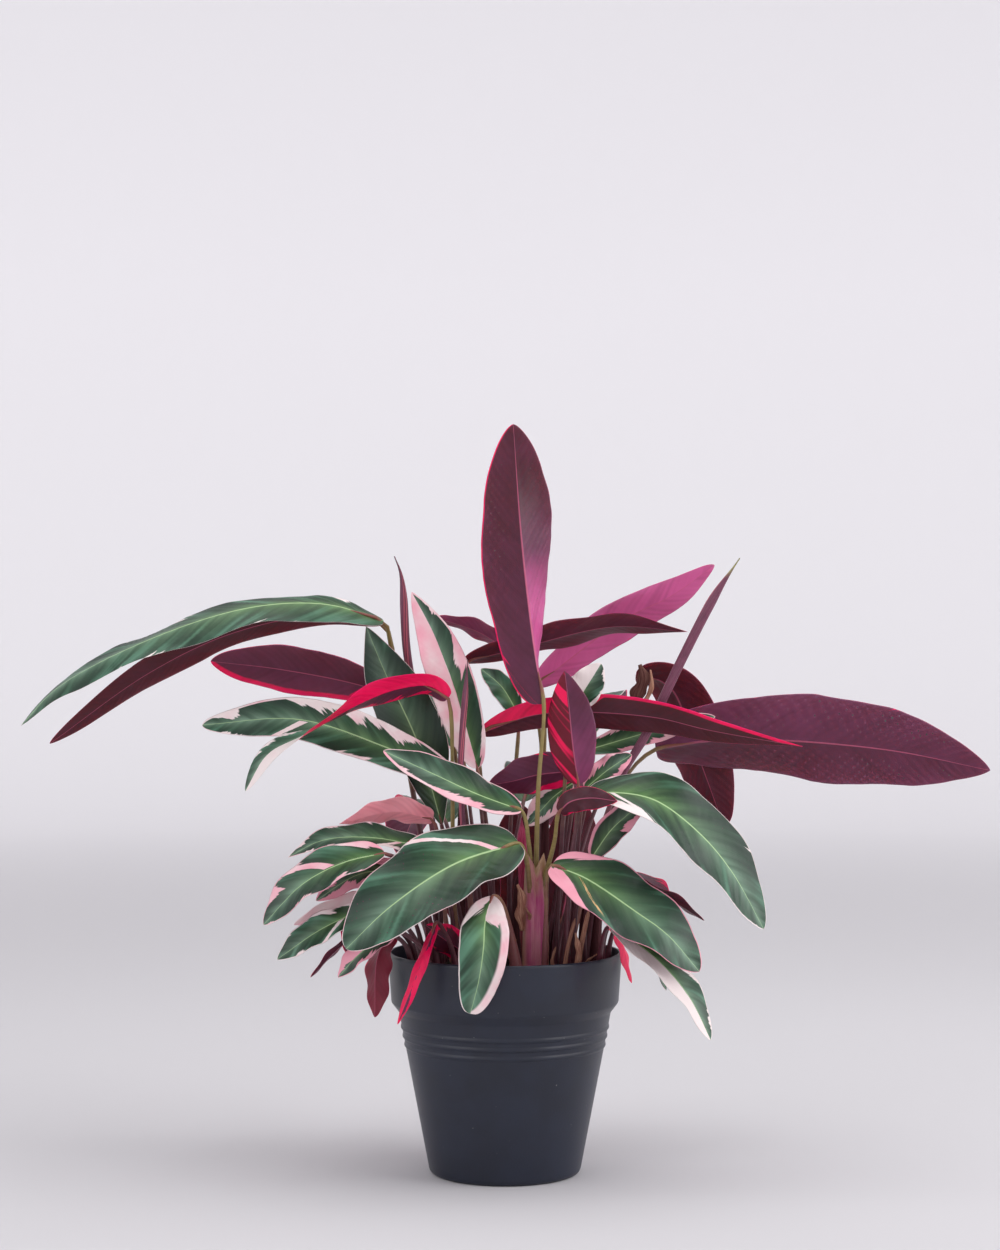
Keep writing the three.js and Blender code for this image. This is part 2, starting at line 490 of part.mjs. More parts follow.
function potSolid() {
  const rings = RIB_HEIGHTS.flatMap((z) => [
    [wallRadius(z - 1.6), z - 1.6], [wallRadius(z) + RIB_PROUD, z - 0.6],
    [wallRadius(z) + RIB_PROUD, z + 0.6], [wallRadius(z + 1.6), z + 1.6],
  ]);
  const profile = [
    [0, 0], [POT_BASE_RADIUS - 2, 0], [wallRadius(1.5), 1.5], ...rings,
    [SHOULDER_RADIUS, SHOULDER_HEIGHT], [RIM_BAND_RADIUS, RIM_BAND_BOTTOM],
    [POT_RIM_RADIUS - 0.3, POT_HEIGHT - 4], [POT_RIM_RADIUS, POT_HEIGHT - 1.5],
    [POT_RIM_RADIUS - 1, POT_HEIGHT], [POT_RIM_RADIUS - 2.6, POT_HEIGHT],
    [RIM_BAND_RADIUS - POT_WALL, RIM_BAND_BOTTOM + 2], [SHOULDER_RADIUS - POT_WALL, SHOULDER_HEIGHT - 2],
    [wallRadius(POT_FLOOR) - POT_WALL, POT_FLOOR], [0, POT_FLOOR],
  ];
  let pot = lathe(profile, POT_SIDES);
  for (let i = 0; i < DRAIN_COUNT; i += 1) {
    const turn = (2 * Math.PI * i) / DRAIN_COUNT;
    const drain = new THREE.CylinderGeometry(DRAIN_RADIUS, DRAIN_RADIUS, 4 * POT_FLOOR, 10)
      .rotateX(Math.PI / 2);
    drain.translate(DRAIN_CIRCLE * Math.cos(turn), DRAIN_CIRCLE * Math.sin(turn), 0);
    pot = pot.subtract(solidOf(drain));
  }
  return pot;
}

function soilSolid(sockets) {
  const inside = POT_WALL + GAP;
  const shoulder = SHOULDER_HEIGHT - 2;
  const collar = RIM_BAND_BOTTOM + 2;
  const topRadius = RIM_BAND_RADIUS - inside
    + ((POT_RIM_RADIUS - 2.6 - RIM_BAND_RADIUS + POT_WALL) * (SOIL_TOP - collar)) / (POT_HEIGHT - collar);
  let soil = lathe([
    [0, POT_FLOOR + GAP], [wallRadius(POT_FLOOR) - inside, POT_FLOOR + GAP],
    [SHOULDER_RADIUS - inside, shoulder + 0.1], [RIM_BAND_RADIUS - inside, collar + 0.1],
    [topRadius, SOIL_TOP - 1], [topRadius * 0.7, SOIL_TOP + SOIL_DOME * 0.6], [0, SOIL_TOP + SOIL_DOME],
  ], POT_SIDES);
  for (const socket of sockets) soil = soil.subtract(socket);
  return soil;
}

// ---------- the whole plant ----------
const plant = new THREE.Group();

function addPiece(name, solid, colour, roughness) {
  const material = new THREE.MeshStandardMaterial({ color: COLOURS[colour], roughness, metalness: 0 });
  const mesh = new THREE.Mesh(geometryOf(solid), material);
  mesh.name = name;
  plant.add(mesh);
}

const soilSockets = [];
const sheathSockets = Object.fromEntries(SHEATHS.map(({ name }) => [name, []]));
const SOIL_REACH = SOIL_TOP + SOIL_DOME + 1;
const ABOVE_SHEATH = 240;

for (const leaf of LEAVES) {
  const rings = stalkRings(leaf);
  addPiece(leaf.name, bladeSolid(leaf).add(tubeSolid(rings)), leaf.colour, 0.45);
  if (leaf.holder) sheathSockets[leaf.holder].push(socketOf(rings, ABOVE_SHEATH));
  else soilSockets.push(socketOf(rings, SOIL_REACH));
}

for (const spear of SPEARS) {
  const rings = spearRings(spear);
  addPiece(spear.name, tubeSolid(rings), spear.colour, 0.5);
  soilSockets.push(socketOf(rings, SOIL_REACH));
}

for (const sheath of SHEATHS) {
  const rings = sheathRings(sheath);
  let solid = tubeSolid(rings);
  for (const socket of sheathSockets[sheath.name]) solid = solid.subtract(socket);
  addPiece(sheath.name, solid, 'sheath', 0.5);
  soilSockets.push(socketOf(rings, SOIL_REACH));
}

addPiece('pot', potSolid(), 'pot', 0.4);
addPiece('soil', soilSolid(soilSockets), 'soil', 0.95);

export default plant;
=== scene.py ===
# %% [markdown]
# # A stromanthe triostar in its nursery pot
# This lesson dresses one plant: forty-three leaves of the front and sides, seven behind, three in
# the dark middle of the clump, four rolled young leaves, the sheath that holds the middle stalks,
# the plastic pot and the soil. The measured model is loaded first, and each of these pieces takes
# the place of one of its nodes and keeps to that node's size and place. Fifteen dry scraps and
# stubs of old stalks, too small to measure, are added.
#
# Lengths in the tables are millimetres, because that is how the plant was measured; everything
# that Blender gets is metres. +X is the right as seen from the front, -Y the front, +Z up.

# %% Load the measured model
import math

import bpy
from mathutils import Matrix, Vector


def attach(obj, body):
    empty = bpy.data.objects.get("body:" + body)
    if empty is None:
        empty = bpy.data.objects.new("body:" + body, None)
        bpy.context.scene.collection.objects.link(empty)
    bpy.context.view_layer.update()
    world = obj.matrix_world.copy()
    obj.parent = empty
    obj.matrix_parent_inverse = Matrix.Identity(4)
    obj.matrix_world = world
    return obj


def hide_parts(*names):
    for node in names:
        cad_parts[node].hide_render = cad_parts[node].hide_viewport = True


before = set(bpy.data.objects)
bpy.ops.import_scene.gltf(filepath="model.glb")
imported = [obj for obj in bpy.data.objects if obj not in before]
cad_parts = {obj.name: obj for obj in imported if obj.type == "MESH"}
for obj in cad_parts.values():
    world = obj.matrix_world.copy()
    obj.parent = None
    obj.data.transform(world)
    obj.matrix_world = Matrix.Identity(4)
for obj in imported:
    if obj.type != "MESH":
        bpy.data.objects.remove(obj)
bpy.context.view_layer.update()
MM = 0.001

# %% [markdown]
# ## Sums in node trees
# A leaf's shape and its colours both follow formulas. Written node by node they are hard to read,
# so one small class lets a socket be added and multiplied like a number. The same class serves
# the geometry trees and the material trees, since both have the Math and Vector Math nodes.

# %% Sockets that add and multiply
def feed(slot, value):
    """Link a wire into a socket, or set the socket's own value."""
    if isinstance(value, Wire):
        value.tree.links.new(slot, value.socket)
    else:
        slot.default_value = value


def add_node(tree, kind, settings=None, **values):
    """A node with its settings; values go by socket name, with _ for a space."""
    node = tree.nodes.new(kind)
    for key, value in (settings or {}).items():
        setattr(node, key, value)
    for key, value in values.items():
        feed(node.inputs[key.replace("_", " ")], value)
    return Wire(tree, node.outputs[0])


def calc(operation, *values, kind="ShaderNodeMath", output=0):
    """A sum of wires and numbers, in the tree of its wires."""
    tree = next(value.tree for value in values if isinstance(value, Wire))
    node = tree.nodes.new(kind)
    if operation:
        node.operation = operation
    for slot, value in zip(node.inputs, values):
        feed(slot, value)
    return Wire(tree, node.outputs[output])


def vector(x, y, z):
    return calc(None, x, y, z, kind="ShaderNodeCombineXYZ")


class Wire:
    """One output socket of a node tree, used in sums."""

    def __init__(self, tree, socket):
        self.tree = tree
        self.socket = socket

    def beside(self, name):
        """Another output of the same node."""
        return Wire(self.tree, self.socket.node.outputs[name])

    def parts(self):
        split = add_node(self.tree, "ShaderNodeSeparateXYZ", Vector=self)
        return [split.beside(axis) for axis in "XYZ"]

    def step(self, low, high):
        """0 below low, 1 above high and a soft step between them."""
        return add_node(self.tree, "ShaderNodeMapRange", {"interpolation_type": "SMOOTHSTEP"},
                        Value=self, From_Min=low, From_Max=high)

    def towards(self, other, share):
        return self + (other - self) * share

    def times(self, factor):
        return add_node(self.tree, "ShaderNodeVectorMath", {"operation": "SCALE"},
                        Vector=self, Scale=factor)


print("a wire can be split, stepped and mixed")

# %% Sums by name
def give_sums(kind, names, swap=False, output=0):
    """Give the class one method for each name, which adds a node with that operation."""
    for name, operation in names.items():
        def method(self, *others, operation=operation):
            values = (*others, self) if swap else (self, *others)
            return calc(operation, *values, kind=kind, output=output)
        setattr(Wire, name, method)


give_sums("ShaderNodeMath", {
    "__add__": "ADD", "__sub__": "SUBTRACT", "__mul__": "MULTIPLY", "__truediv__": "DIVIDE",
    "__pow__": "POWER", "sin": "SINE", "cos": "COSINE", "size": "ABSOLUTE", "sign": "SIGN",
    "above": "GREATER_THAN", "at_least": "MAXIMUM", "at_most": "MINIMUM"})
give_sums("ShaderNodeMath", {"__radd__": "ADD", "__rsub__": "SUBTRACT", "__rmul__": "MULTIPLY"},
          swap=True)
give_sums("ShaderNodeVectorMath", {"plus": "ADD", "minus": "SUBTRACT", "cross": "CROSS_PRODUCT",
                                   "unit": "NORMALIZE"})
give_sums("ShaderNodeVectorMath", {"dot": "DOT_PRODUCT"}, output=1)
print("sums of numbers and of vectors ready")

# %% [markdown]
# ## Colours
# Every colour is written as it would be picked on a screen and turned into the linear values
# that Blender works with.

# %% Colours
def tint(red, green, blue):
    return tuple(((part / 255 + 0.055) / 1.055) ** 2.4 if part > 10 else part / 3294.6
                 for part in (red, green, blue)) + (1.0,)


DEEP_GREEN = tint(6, 34, 24)
LEAF_GREEN = tint(17, 68, 38)
SILVER_SHEEN_GREEN = tint(94, 142, 118)
RIB_GREEN = tint(122, 166, 96)
CREAM = tint(238, 224, 222)
SHELL_PINK = tint(236, 158, 176)
MAROON = tint(62, 22, 30)
PLUM = tint(98, 44, 76)
MAUVE = tint(200, 88, 146)
HOT_PINK = tint(248, 4, 86)
SALMON = tint(252, 166, 176)
print("eleven leaf colours")

# %% [markdown]
# ## What the markings follow
# On the real leaf the white and pink patches are strips of tissue that run out from the midrib
# along the side veins, so the pattern needs to know where a point lies on its own leaf. The leaf
# builder below writes five vectors on every point:
#
# * `blade`: distance along the midrib, distance from it (left of it is negative), and the share
#   of the half-width from -1 to 1,
# * `veining`: how many side veins lie before this point, the share of the length, and the pale
#   margin's width,
# * `look`: the share of cream, the tone of the underside, how pink the cream is,
# * `extra`: how light the green is, the leaf's own number and the half-width,
# * `streak`: how far the point is from the leaf's one broad streak, in streak widths, and how many
#   veins it is from the leaf's dry scar.
#
# One node group reads them and gives masks; the upper side and the underside both use it, because
# the same patch of tissue shows cream above and hot pink below.

# %% Noise and blends
def noise(place, scale=1.0, detail=2.0, roughness=0.5):
    return add_node(place.tree, "ShaderNodeTexNoise", Vector=place, Scale=scale, Detail=detail,
                    Roughness=roughness)


def blend(share, first, second):
    """A colour that goes from the first to the second as the share goes from 0 to 1."""
    node = share.tree.nodes.new("ShaderNodeMix")
    node.data_type = "RGBA"
    # Several of the node's inputs are called A or B; those for colours are at 6 and 7.
    for place, value in ((0, share), (6, first), (7, second)):
        feed(node.inputs[place], value)
    return Wire(share.tree, node.outputs[2])


print("noise and blends ready")

# %% The leaf's markings
def mask_sums(blade, veining, look, extra, streaks):
    """The sums of the markings; every result is a number for one point of the leaf."""
    along, across, share = blade.parts()
    vein, length_share, margin = veining.parts()
    cream = look.parts()[0]
    number, half = extra.parts()[1:]
    streak, scar = streaks.parts()[:2]
    lane = number * 7.3 + across.sign() * 3.1
    # Broad strips, then fine brush strokes; both are long along a vein and short across it.
    broad = noise(vector(vein * 0.26, across * 14.0, lane), detail=1.0)
    strokes = noise(vector(vein * 1.1, across * 20.0, lane + 40.0))
    specks = noise(vector(vein * 5.0, across * 90.0, lane + 80.0))
    pattern = broad * 0.62 + strokes * 0.28 + specks * 0.1 - 0.5
    # Cream starts at the margin and reaches further in where its share is larger; a streak is a
    # single vein's strip that is cream all the way from the midrib.
    depth = share.size() * 0.75 + pattern * 2.4 + cream * 1.7 - 1.2
    patch = depth.step(-0.03, 0.03)
    patch = patch.at_least(1.0 - (streak.size() + pattern * 1.2).step(0.85, 1.0))
    edge = (share.size() * half).step(half - margin * 1.25, half - margin * 0.85)
    # The midrib narrows towards the tip; pale tufts run from it along the side veins.
    reach = across.size()
    rib_width = (1.0 - length_share * 0.75) * 0.0011 * (half * 34.0).at_most(1.0).at_least(0.45)
    tuft = noise(vector(vein * 0.8, across * 18.0, lane + 120.0))
    fade = calc("EXPONENT", reach / (half * 0.26 + 0.0008) * -1.0)
    # Brush marks, two veins wide, which on the upper side give the silvery bands, partly painted
    # sheen; and a dry scar that follows one vein.
    brush = noise(vector(vein * 0.5, across * 13.0, lane + 200.0))
    torn = (scar + (strokes + specks - 1.0) * 1.2).size().step(0.14, 0.20)
    dry = (1.0 - torn) * share.size().step(0.06, 0.10) * (1.0 - share.size().step(0.72, 0.88))
    bands = (vein * (2 * math.pi)).sin() * 0.5 + 0.5
    fine = (vein * (8 * math.pi)).sin() * 0.5 + 0.5
    return {
        "Patch": patch.at_least(edge),
        "Midrib": 1.0 - reach.step(rib_width * 0.5, rib_width * 1.2),
        "Feather": fade * (0.35 + tuft.step(0.25, 0.75) * 0.65),
        "Bands": bands,
        "Relief": bands * 0.14 + fine * 0.05 + strokes * 0.6 + brush * 0.4,
        "Mottle": noise(vector(along * 45.0, across * 45.0, lane), detail=3.0),
        "Brush": brush,
        "Scar": dry,
    }


print("sums of the markings ready")

# %% The group of the markings
FACTS = ["blade", "veining", "look", "extra", "streak"]


def leaf_markings():
    tree = bpy.data.node_groups.new("leaf markings", "ShaderNodeTree")
    for name in FACTS:
        tree.interface.new_socket(name=name, in_out="INPUT", socket_type="NodeSocketVector")
    start = tree.nodes.new("NodeGroupInput")
    masks = mask_sums(*(Wire(tree, start.outputs[name]) for name in FACTS))
    for name in masks:
        tree.interface.new_socket(name=name, in_out="OUTPUT", socket_type="NodeSocketFloat")
    end = tree.nodes.new("NodeGroupOutput")
    for name, wire in masks.items():
        feed(end.inputs[name], wire)
    return tree


MARKINGS = leaf_markings()
print("markings group with", len(MARKINGS.nodes), "nodes")

# %% [markdown]
# ## The two faces of a leaf
# The upper side is green: deep between the veins, silvery in soft bands that are partly painted
# sheen, with a pale feathered midrib, and cream or shell pink where the markings say so. The
# underside is anything from maroon to mauve, and hot pink in the same patches, because there the
# red pigment lies over white tissue instead of green. Both are waxy, so a thin coat gives the
# broad soft shine.

# %% Materials from a look
def attribute(tree, name):
    return add_node(tree, "ShaderNodeAttribute", {"attribute_name": name}).beside("Vector")


def new_material(name, roughness, coat=0.0, coat_roughness=0.3, specular=0.5, glow=0.0):
    material = bpy.data.materials.new(name)
    material.use_nodes = True
    shader = material.node_tree.nodes["Principled BSDF"]
    for label, value in {
            "Roughness": roughness, "Coat Weight": coat, "Coat Roughness": coat_roughness,
            "Specular IOR Level": specular, "Subsurface Weight": glow,
            "Subsurface Radius": (0.004, 0.0015, 0.0012), "Subsurface Scale": 1.0}.items():
        shader.inputs[label].default_value = value
    return material, shader


def skin(name, look, relief, *finish, **more):
    """A material from a function that gives its colour, its height and perhaps its roughness.
    The relief is the height of 1 in metres."""
    material, shader = new_material(name, *finish, **more)
    tree = material.node_tree
    colour, height, *rough = look(tree)
    bump = add_node(tree, "ShaderNodeBump", Strength=1.0, Distance=relief, Height=height)
    for label, wire in zip(("Base Color", "Normal", "Roughness"), (colour, bump, *rough)):
        feed(shader.inputs[label], wire)
    return material


def use_markings(tree):
    """The masks by name, and the facts they were made from."""
    node = tree.nodes.new("ShaderNodeGroup")
    node.node_tree = MARKINGS
    facts = {name: attribute(tree, name) for name in FACTS}
    for name, wire in facts.items():
        feed(node.inputs[name], wire)
    return {output.name: Wire(tree, output) for output in node.outputs}, facts


print("materials can be made")

# %% Upper side
def upper_side(tree):
    masks, facts = use_markings(tree)
    pink, light = facts["look"].parts()[2], facts["extra"].parts()[0]
    brush, mottle = masks["Brush"] - 0.5, masks["Mottle"]
    green = blend((brush + mottle * 0.7 + light * 0.8 - 0.4).step(0.0, 0.9),
                  DEEP_GREEN, LEAF_GREEN)
    # The silvery bands, stronger towards the margins, are partly the leaf's own silver and partly
    # painted sheen.
    margin_sheen = (facts["blade"].parts()[2].size() - 0.5) * 0.4
    silver_and_sheen = (brush * 2.2 + mottle * 0.5 + light * 1.6 + margin_sheen - 1.0).step(0.0, 0.7)
    green = blend(silver_and_sheen * 0.68, green, SILVER_SHEEN_GREEN)
    along = facts["veining"].parts()[1]
    tuft = blend(along.step(0.2, 0.8), RIB_GREEN, tint(150, 186, 158))
    green = blend(masks["Feather"] * 0.7, green, tuft)
    green = blend(masks["Midrib"] * 0.85, green, tint(176, 206, 150))
    pale = blend((mottle * 1.2 + pink * 1.5 - 1.05).step(0.0, 0.7), CREAM, SHELL_PINK)
    dead = blend(mottle, tint(176, 112, 64), tint(248, 220, 160))
    colour = blend(masks["Scar"], blend(masks["Patch"], green, pale), dead)
    return colour, masks["Relief"] - masks["Scar"]


UPPER = skin("leaf upper side", upper_side, 0.00035, 0.42, 0.14, 0.26, specular=0.32)
print("material:", UPPER.name)

# %% Underside
def underside(tree):
    masks, facts = use_markings(tree)
    tone, pink = facts["look"].parts()[1:]
    light = facts["extra"].parts()[0]
    mottle, brush = masks["Mottle"], masks["Brush"] - 0.5
    dark = blend((tone + (mottle - 0.5) * 0.3).step(0.0, 0.6), MAROON, PLUM)
    dark = blend((tone + (mottle - 0.5) * 0.2).step(0.45, 1.0), dark, MAUVE)
    palest = light.step(0.9, 0.95)
    dark = blend(light.step(0.65, 0.8) * (1.0 - palest), dark, tint(120, 16, 44))
    grooves = (masks["Bands"] * 0.1 + brush * 0.8).at_least(0.0)
    dark = blend(grooves, dark, tint(34, 12, 20))
    dark = blend(masks["Midrib"] * 0.7, dark, tint(190, 92, 122))
    bright = blend(pink.step(0.94, 1.0) * (0.75 + mottle * 0.4), HOT_PINK, SALMON)
    grooves = (masks["Bands"] * 0.12 + brush * 1.2).at_least(0.0)
    bright = blend(grooves, bright, tint(140, 6, 44))
    # The palest leaves of all keep maroon between the side veins of their pink half.
    stripe = ((masks["Bands"] - 0.5) * 0.25 + brush * 4.0 + 0.66).step(0.35, 0.65) * palest
    bright = blend(stripe * 0.92, bright, tint(78, 8, 28))
    return blend(masks["Patch"], dark, bright), masks["Relief"]


UNDER = skin("leaf underside", underside, 0.0004, 0.44, 0.1, 0.35, specular=0.28, glow=0.12)
print("material:", UNDER.name)

# %% Stalk
def stalk_skin(tree):
    share, height, red = attribute(tree, "stem").parts()
    mottle = noise(vector(share * 30.0, height * 30.0, red))
    # The dark maroon foot is partly the stalk's own colour and partly painted shade; it reaches
    # higher on stalks that stand deep in the clump.
    low = blend(mottle, tint(40, 12, 22), tint(92, 36, 56))
    low = blend(red, tint(150, 84, 84), low)
    olive = blend(mottle, tint(112, 96, 46), tint(150, 132, 78))
    olive_above_shaded_foot = (height * 10.0 + mottle * 0.5 - red * 1.5).step(1.3, 2.3)
    colour = blend(olive_above_shaded_foot, low, olive)
    return blend(share.step(0.86, 0.93), colour, tint(128, 70, 60)), mottle


STALK = skin("leaf stalk", stalk_skin, 0.0002, 0.45, coat=0.1)
print("material:", STALK.name)

# %% [markdown]
# ## How a leaf is grown
# A leaf is one sheet swept along its midrib. Modelling fifty of them by hand would take weeks and
# none could be changed afterwards, so one geometry node tree grows them all. It is fed only a
# midrib and a stalk, each a line of points, and the numbers of a table:
#
# 1. a flat grid supplies the points; one way round it runs the length of the leaf, the other way
#    it goes across the upper side and back along the underside, so that the leaf is a closed skin,
# 2. the midrib is sampled at each point's share of the length, which gives the place, the
#    direction and which way the leaf looks there,
# 3. the outline formula gives the half-width, each half is folded up or down by its own angle,
#    and waves and quilting between the side veins are added,
# 4. the two skins are pushed apart by half the leaf's thickness, with a groove over the midrib
#    and a raised rib under it.
#
# The line itself is worked out here, because the measured model uses the same smooth curve.

# %% Smooth lines through a few points
FINE_STEPS = 60


def smooth_line(points, count):
    """Evenly spaced points of the centripetal curve through the given ones, and its length."""
    points = [Vector(point) for point in points]
    points = [2 * points[0] - points[1], *points, 2 * points[-1] - points[-2]]
    fine = []
    for k in range(1, len(points) - 2):
        a, b, c, d = points[k - 1:k + 3]
        before, here, after = ((q - p).length ** 0.5 for p, q in ((a, b), (b, c), (c, d)))
        leave = ((b - a) / before - (c - a) / (before + here) + (c - b) / here) * here
        arrive = ((c - b) / here - (d - b) / (here + after) + (d - c) / after) * here
        for j in range(FINE_STEPS):
            t = j / FINE_STEPS
            fine.append(b + leave * t + (3 * (c - b) - 2 * leave - arrive) * t * t
                        + (2 * (b - c) + leave + arrive) * t ** 3)
    fine.append(points[-2])
    lengths = [0.0]
    for p, q in zip(fine, fine[1:]):
        lengths.append(lengths[-1] + (q - p).length)
    line = []
    k = 0
    for j in range(count):
        goal = lengths[-1] * j / (count - 1)
        while k < len(fine) - 2 and lengths[k + 1] < goal:
            k += 1
        line.append(fine[k].lerp(fine[k + 1], (goal - lengths[k]) / (lengths[k + 1] - lengths[k])))
    return line, lengths[-1]


def soft_step(value, low, high):
    share = min(1.0, max(0.0, (value - low) / (high - low)))
    return share * share * (3 - 2 * share)


print("smooth lines ready")

# %% [markdown]
# Several trees below need the same small steps: an input with a name, a stored attribute, a
# finished mesh. They are written once.

# %% Small steps for geometry trees
def new_tree(name, inputs):
    """A geometry tree with named number inputs; gives back their wires as well."""
    tree = bpy.data.node_groups.new(name, "GeometryNodeTree")
    tree.interface.new_socket(name="Geometry", in_out="INPUT", socket_type="NodeSocketGeometry")
    tree.interface.new_socket(name="Geometry", in_out="OUTPUT", socket_type="NodeSocketGeometry")
    for label, kind in inputs.items():
        tree.interface.new_socket(name=label, in_out="INPUT", socket_type="NodeSocket" + kind)
    start = tree.nodes.new("NodeGroupInput")
    return tree, {output.name: Wire(tree, output) for output in start.outputs if output.name}


def named(tree, name, kind="FLOAT"):
    return add_node(tree, "GeometryNodeInputNamedAttribute", {"data_type": kind}, Name=name)


def position(tree):
    return add_node(tree, "GeometryNodeInputPosition")


def store(geometry, name, value, kind="FLOAT", domain="POINT"):
    return add_node(geometry.tree, "GeometryNodeStoreNamedAttribute",
                    {"data_type": kind, "domain": domain},
                    Geometry=geometry, Name=name, Value=value)


def join(*geometries):
    wire = add_node(geometries[0].tree, "GeometryNodeJoinGeometry")
    for geometry in geometries:
        feed(wire.socket.node.inputs[0], geometry)
    return wire


def sweep(curve, section):
    """A section swept along a curve, as thick as the curve's stored girth."""
    return add_node(curve.tree, "GeometryNodeCurveToMesh", Curve=curve, Profile_Curve=section,
                    Fill_Caps=True, Scale=named(curve.tree, "girth"))


def round_section(tree, sides):
    return add_node(tree, "GeometryNodeCurvePrimitiveCircle", {"mode": "RADIUS"},
                    Resolution=sides, Radius=1.0)


def end_tree(geometry, materials):
    """Smooth the piece, make its instances real, give each zone its material and send it out.
    With several materials the faces' stored zone says which one is meant."""
    tree = geometry.tree
    geometry = add_node(tree, "GeometryNodeSetShadeSmooth", Geometry=geometry)
    geometry = add_node(tree, "GeometryNodeRealizeInstances", Geometry=geometry)
    for zone, material in enumerate(materials):
        geometry = add_node(tree, "GeometryNodeSetMaterial", Geometry=geometry)
        inputs = geometry.socket.node.inputs
        inputs["Material"].default_value = material
        if len(materials) > 1:
            here = named(tree, "zone")
            feed(inputs["Selection"], here.above(zone - 0.5) * (1.0 - here.above(zone + 0.5)))
    feed(tree.nodes.new("NodeGroupOutput").inputs[0], geometry)
    return tree


print("trees can be built")

# %% From a line to a finished mesh
def line_mesh(name, lines):
    """A mesh of open lines; each line is its points and the values stored on them."""
    points, edges, values = [], [], {}
    for line, facts in lines:
        edges += [(len(points) + k, len(points) + k + 1) for k in range(len(line) - 1)]
        points += [point * MM for point in line]
        for key, numbers in facts.items():
            values.setdefault(key, []).extend(numbers)
    mesh = bpy.data.meshes.new(name)
    mesh.from_pydata(points, edges, [])
    for key, numbers in values.items():
        single = isinstance(numbers[0], float)
        layer = mesh.attributes.new(key, "FLOAT" if single else "FLOAT_VECTOR", "POINT")
        for item, number in zip(layer.data, numbers):
            setattr(item, "value" if single else "vector", number)
    return mesh


def grow(piece, mesh, tree, settings):
    """Run a tree on a line mesh and keep the plain mesh that comes out."""
    thing = bpy.data.objects.new(piece, mesh)
    bpy.context.scene.collection.objects.link(thing)
    modifier = thing.modifiers.new("grow", "NODES")
    modifier.node_group = tree
    sockets = {item.name: item.identifier for item in tree.interface.items_tree
               if item.in_out == "INPUT"}
    for label, value in settings.items():
        modifier[sockets[label]] = value
    graph = bpy.context.evaluated_depsgraph_get()
    grown = bpy.data.meshes.new_from_object(thing.evaluated_get(graph),
                                            preserve_all_data_layers=True, depsgraph=graph)
    thing.modifiers.remove(modifier)
    thing.data = grown
    grown.name = piece
    bpy.data.meshes.remove(mesh)
    return thing


print("pieces can be grown")

# %% [markdown]
# ## The leaf tree
# The sums below are those of the measured model, so a leaf grown here lies in the measured leaf.
# What is added is everything too small to measure: a margin that thins out, the quilting between
# side veins, the groove and the rib of the midrib, and the swelling under the blade where the
# stalk bends to turn the leaf to the light.

# %% Grid, midrib and stalk
PAIRS = ["Fold", "Tip fold", "Cream", "Tone", "Margin"]
SMALLEST_HALF = 0.0003
GROOVE = 0.0004
RIB = 0.0010
FAR_VEINS = 50.0
LEAF_INPUTS = [f"{label} {half}" for label in PAIRS for half in ("left", "right")] + [
    "Length", "Width", "Widest", "Blunt base", "Blunt tip", "Wave", "Waves", "Thickness",
    "Quilting", "Vein spacing", "Tip cream", "Tip tone", "Pink", "Light", "Streak at",
    "Streak width", "Streak side", "Scar at", "Scar side", "Red and shaded stalk", "Number"]


def flat_sheet(tree, get):
    """A grid whose t runs from the base to the tip and whose s runs from one margin to the other
    and back. Gives the grid, t, the share of the half-width, the side and whether it is the right
    one, and whether this is the lower skin."""
    sheet = add_node(tree, "GeometryNodeMeshGrid", Size_X=1.0, Size_Y=1.0,
                     Vertices_X=get["Steps along"], Vertices_Y=get["Steps round"])
    row, column, _ = position(tree).parts()
    row = row + 0.5
    t = row.towards(0.5 - (row * math.pi).cos() * 0.5, 0.6)
    s = 1.0 - column.size() * 4.0
    share = s.size()
    share = share.towards(share * share * (3.0 - share * 2.0), 0.8)
    return sheet, t, share, s.sign(), s.above(0.0), column.above(0.0)


def midrib_under(tree, get, t):
    """The place on the midrib, the way up out of the leaf and the way across it."""
    bones = add_node(tree, "GeometryNodeMeshToCurve", Mesh=get["Geometry"],
                     Selection=1.0 - named(tree, "girth").above(0.0))
    face = add_node(tree, "GeometryNodeSampleCurve",
                    {"mode": "FACTOR", "data_type": "FLOAT_VECTOR"},
                    Curves=bones, Value=named(tree, "face", "FLOAT_VECTOR"), Factor=t)
    forward = face.beside("Tangent").unit()
    up = face.minus(forward.times(face.dot(forward))).unit()
    return face.beside("Position"), up, forward.cross(up)


def leaf_stem(tree, get):
    """The stalk: the line with a girth, swept with a round section."""
    stem = add_node(tree, "GeometryNodeMeshToCurve", Mesh=get["Geometry"],
                    Selection=named(tree, "girth").above(0.0))
    height = position(tree).parts()[2]
    curve = store(stem, "stem", vector(named(tree, "rise"), height, get["Red and shaded stalk"]),
                  "FLOAT_VECTOR")
    return store(sweep(curve, round_section(tree, 12)), "zone", 2.0, domain="FACE")


print("grid, midrib and stalk ready;", len(LEAF_INPUTS), "inputs for a leaf")

# %% Outline, veins and thickness
def half_width(get, t, lane):
    """The outline: half the leaf's width at t, and its share of the widest."""
    skew = calc("DIVIDE", math.log(0.5), calc("LOGARITHM", get["Widest"], math.e))
    arch = ((t ** skew) * math.pi).sin().at_least(0.0)
    outline = arch ** get["Blunt base"].towards(get["Blunt tip"], t)
    waver = noise(vector(t * 5.0, lane, 0.0)) - 0.5
    half = (get["Width"] * 0.5 * outline * (1.0 + waver * 0.16)).at_least(SMALLEST_HALF)
    return half, outline


def vein_number(get, t, share, reach, lane):
    """How many side veins lie before this point; they slant towards the tip."""
    vein = (get["Length"] * t - reach * (1.05 + share * 0.5)) / get["Vein spacing"]
    return vein + noise(vector(vein * 0.3, reach * 30.0, lane), detail=1.0) * 1.2


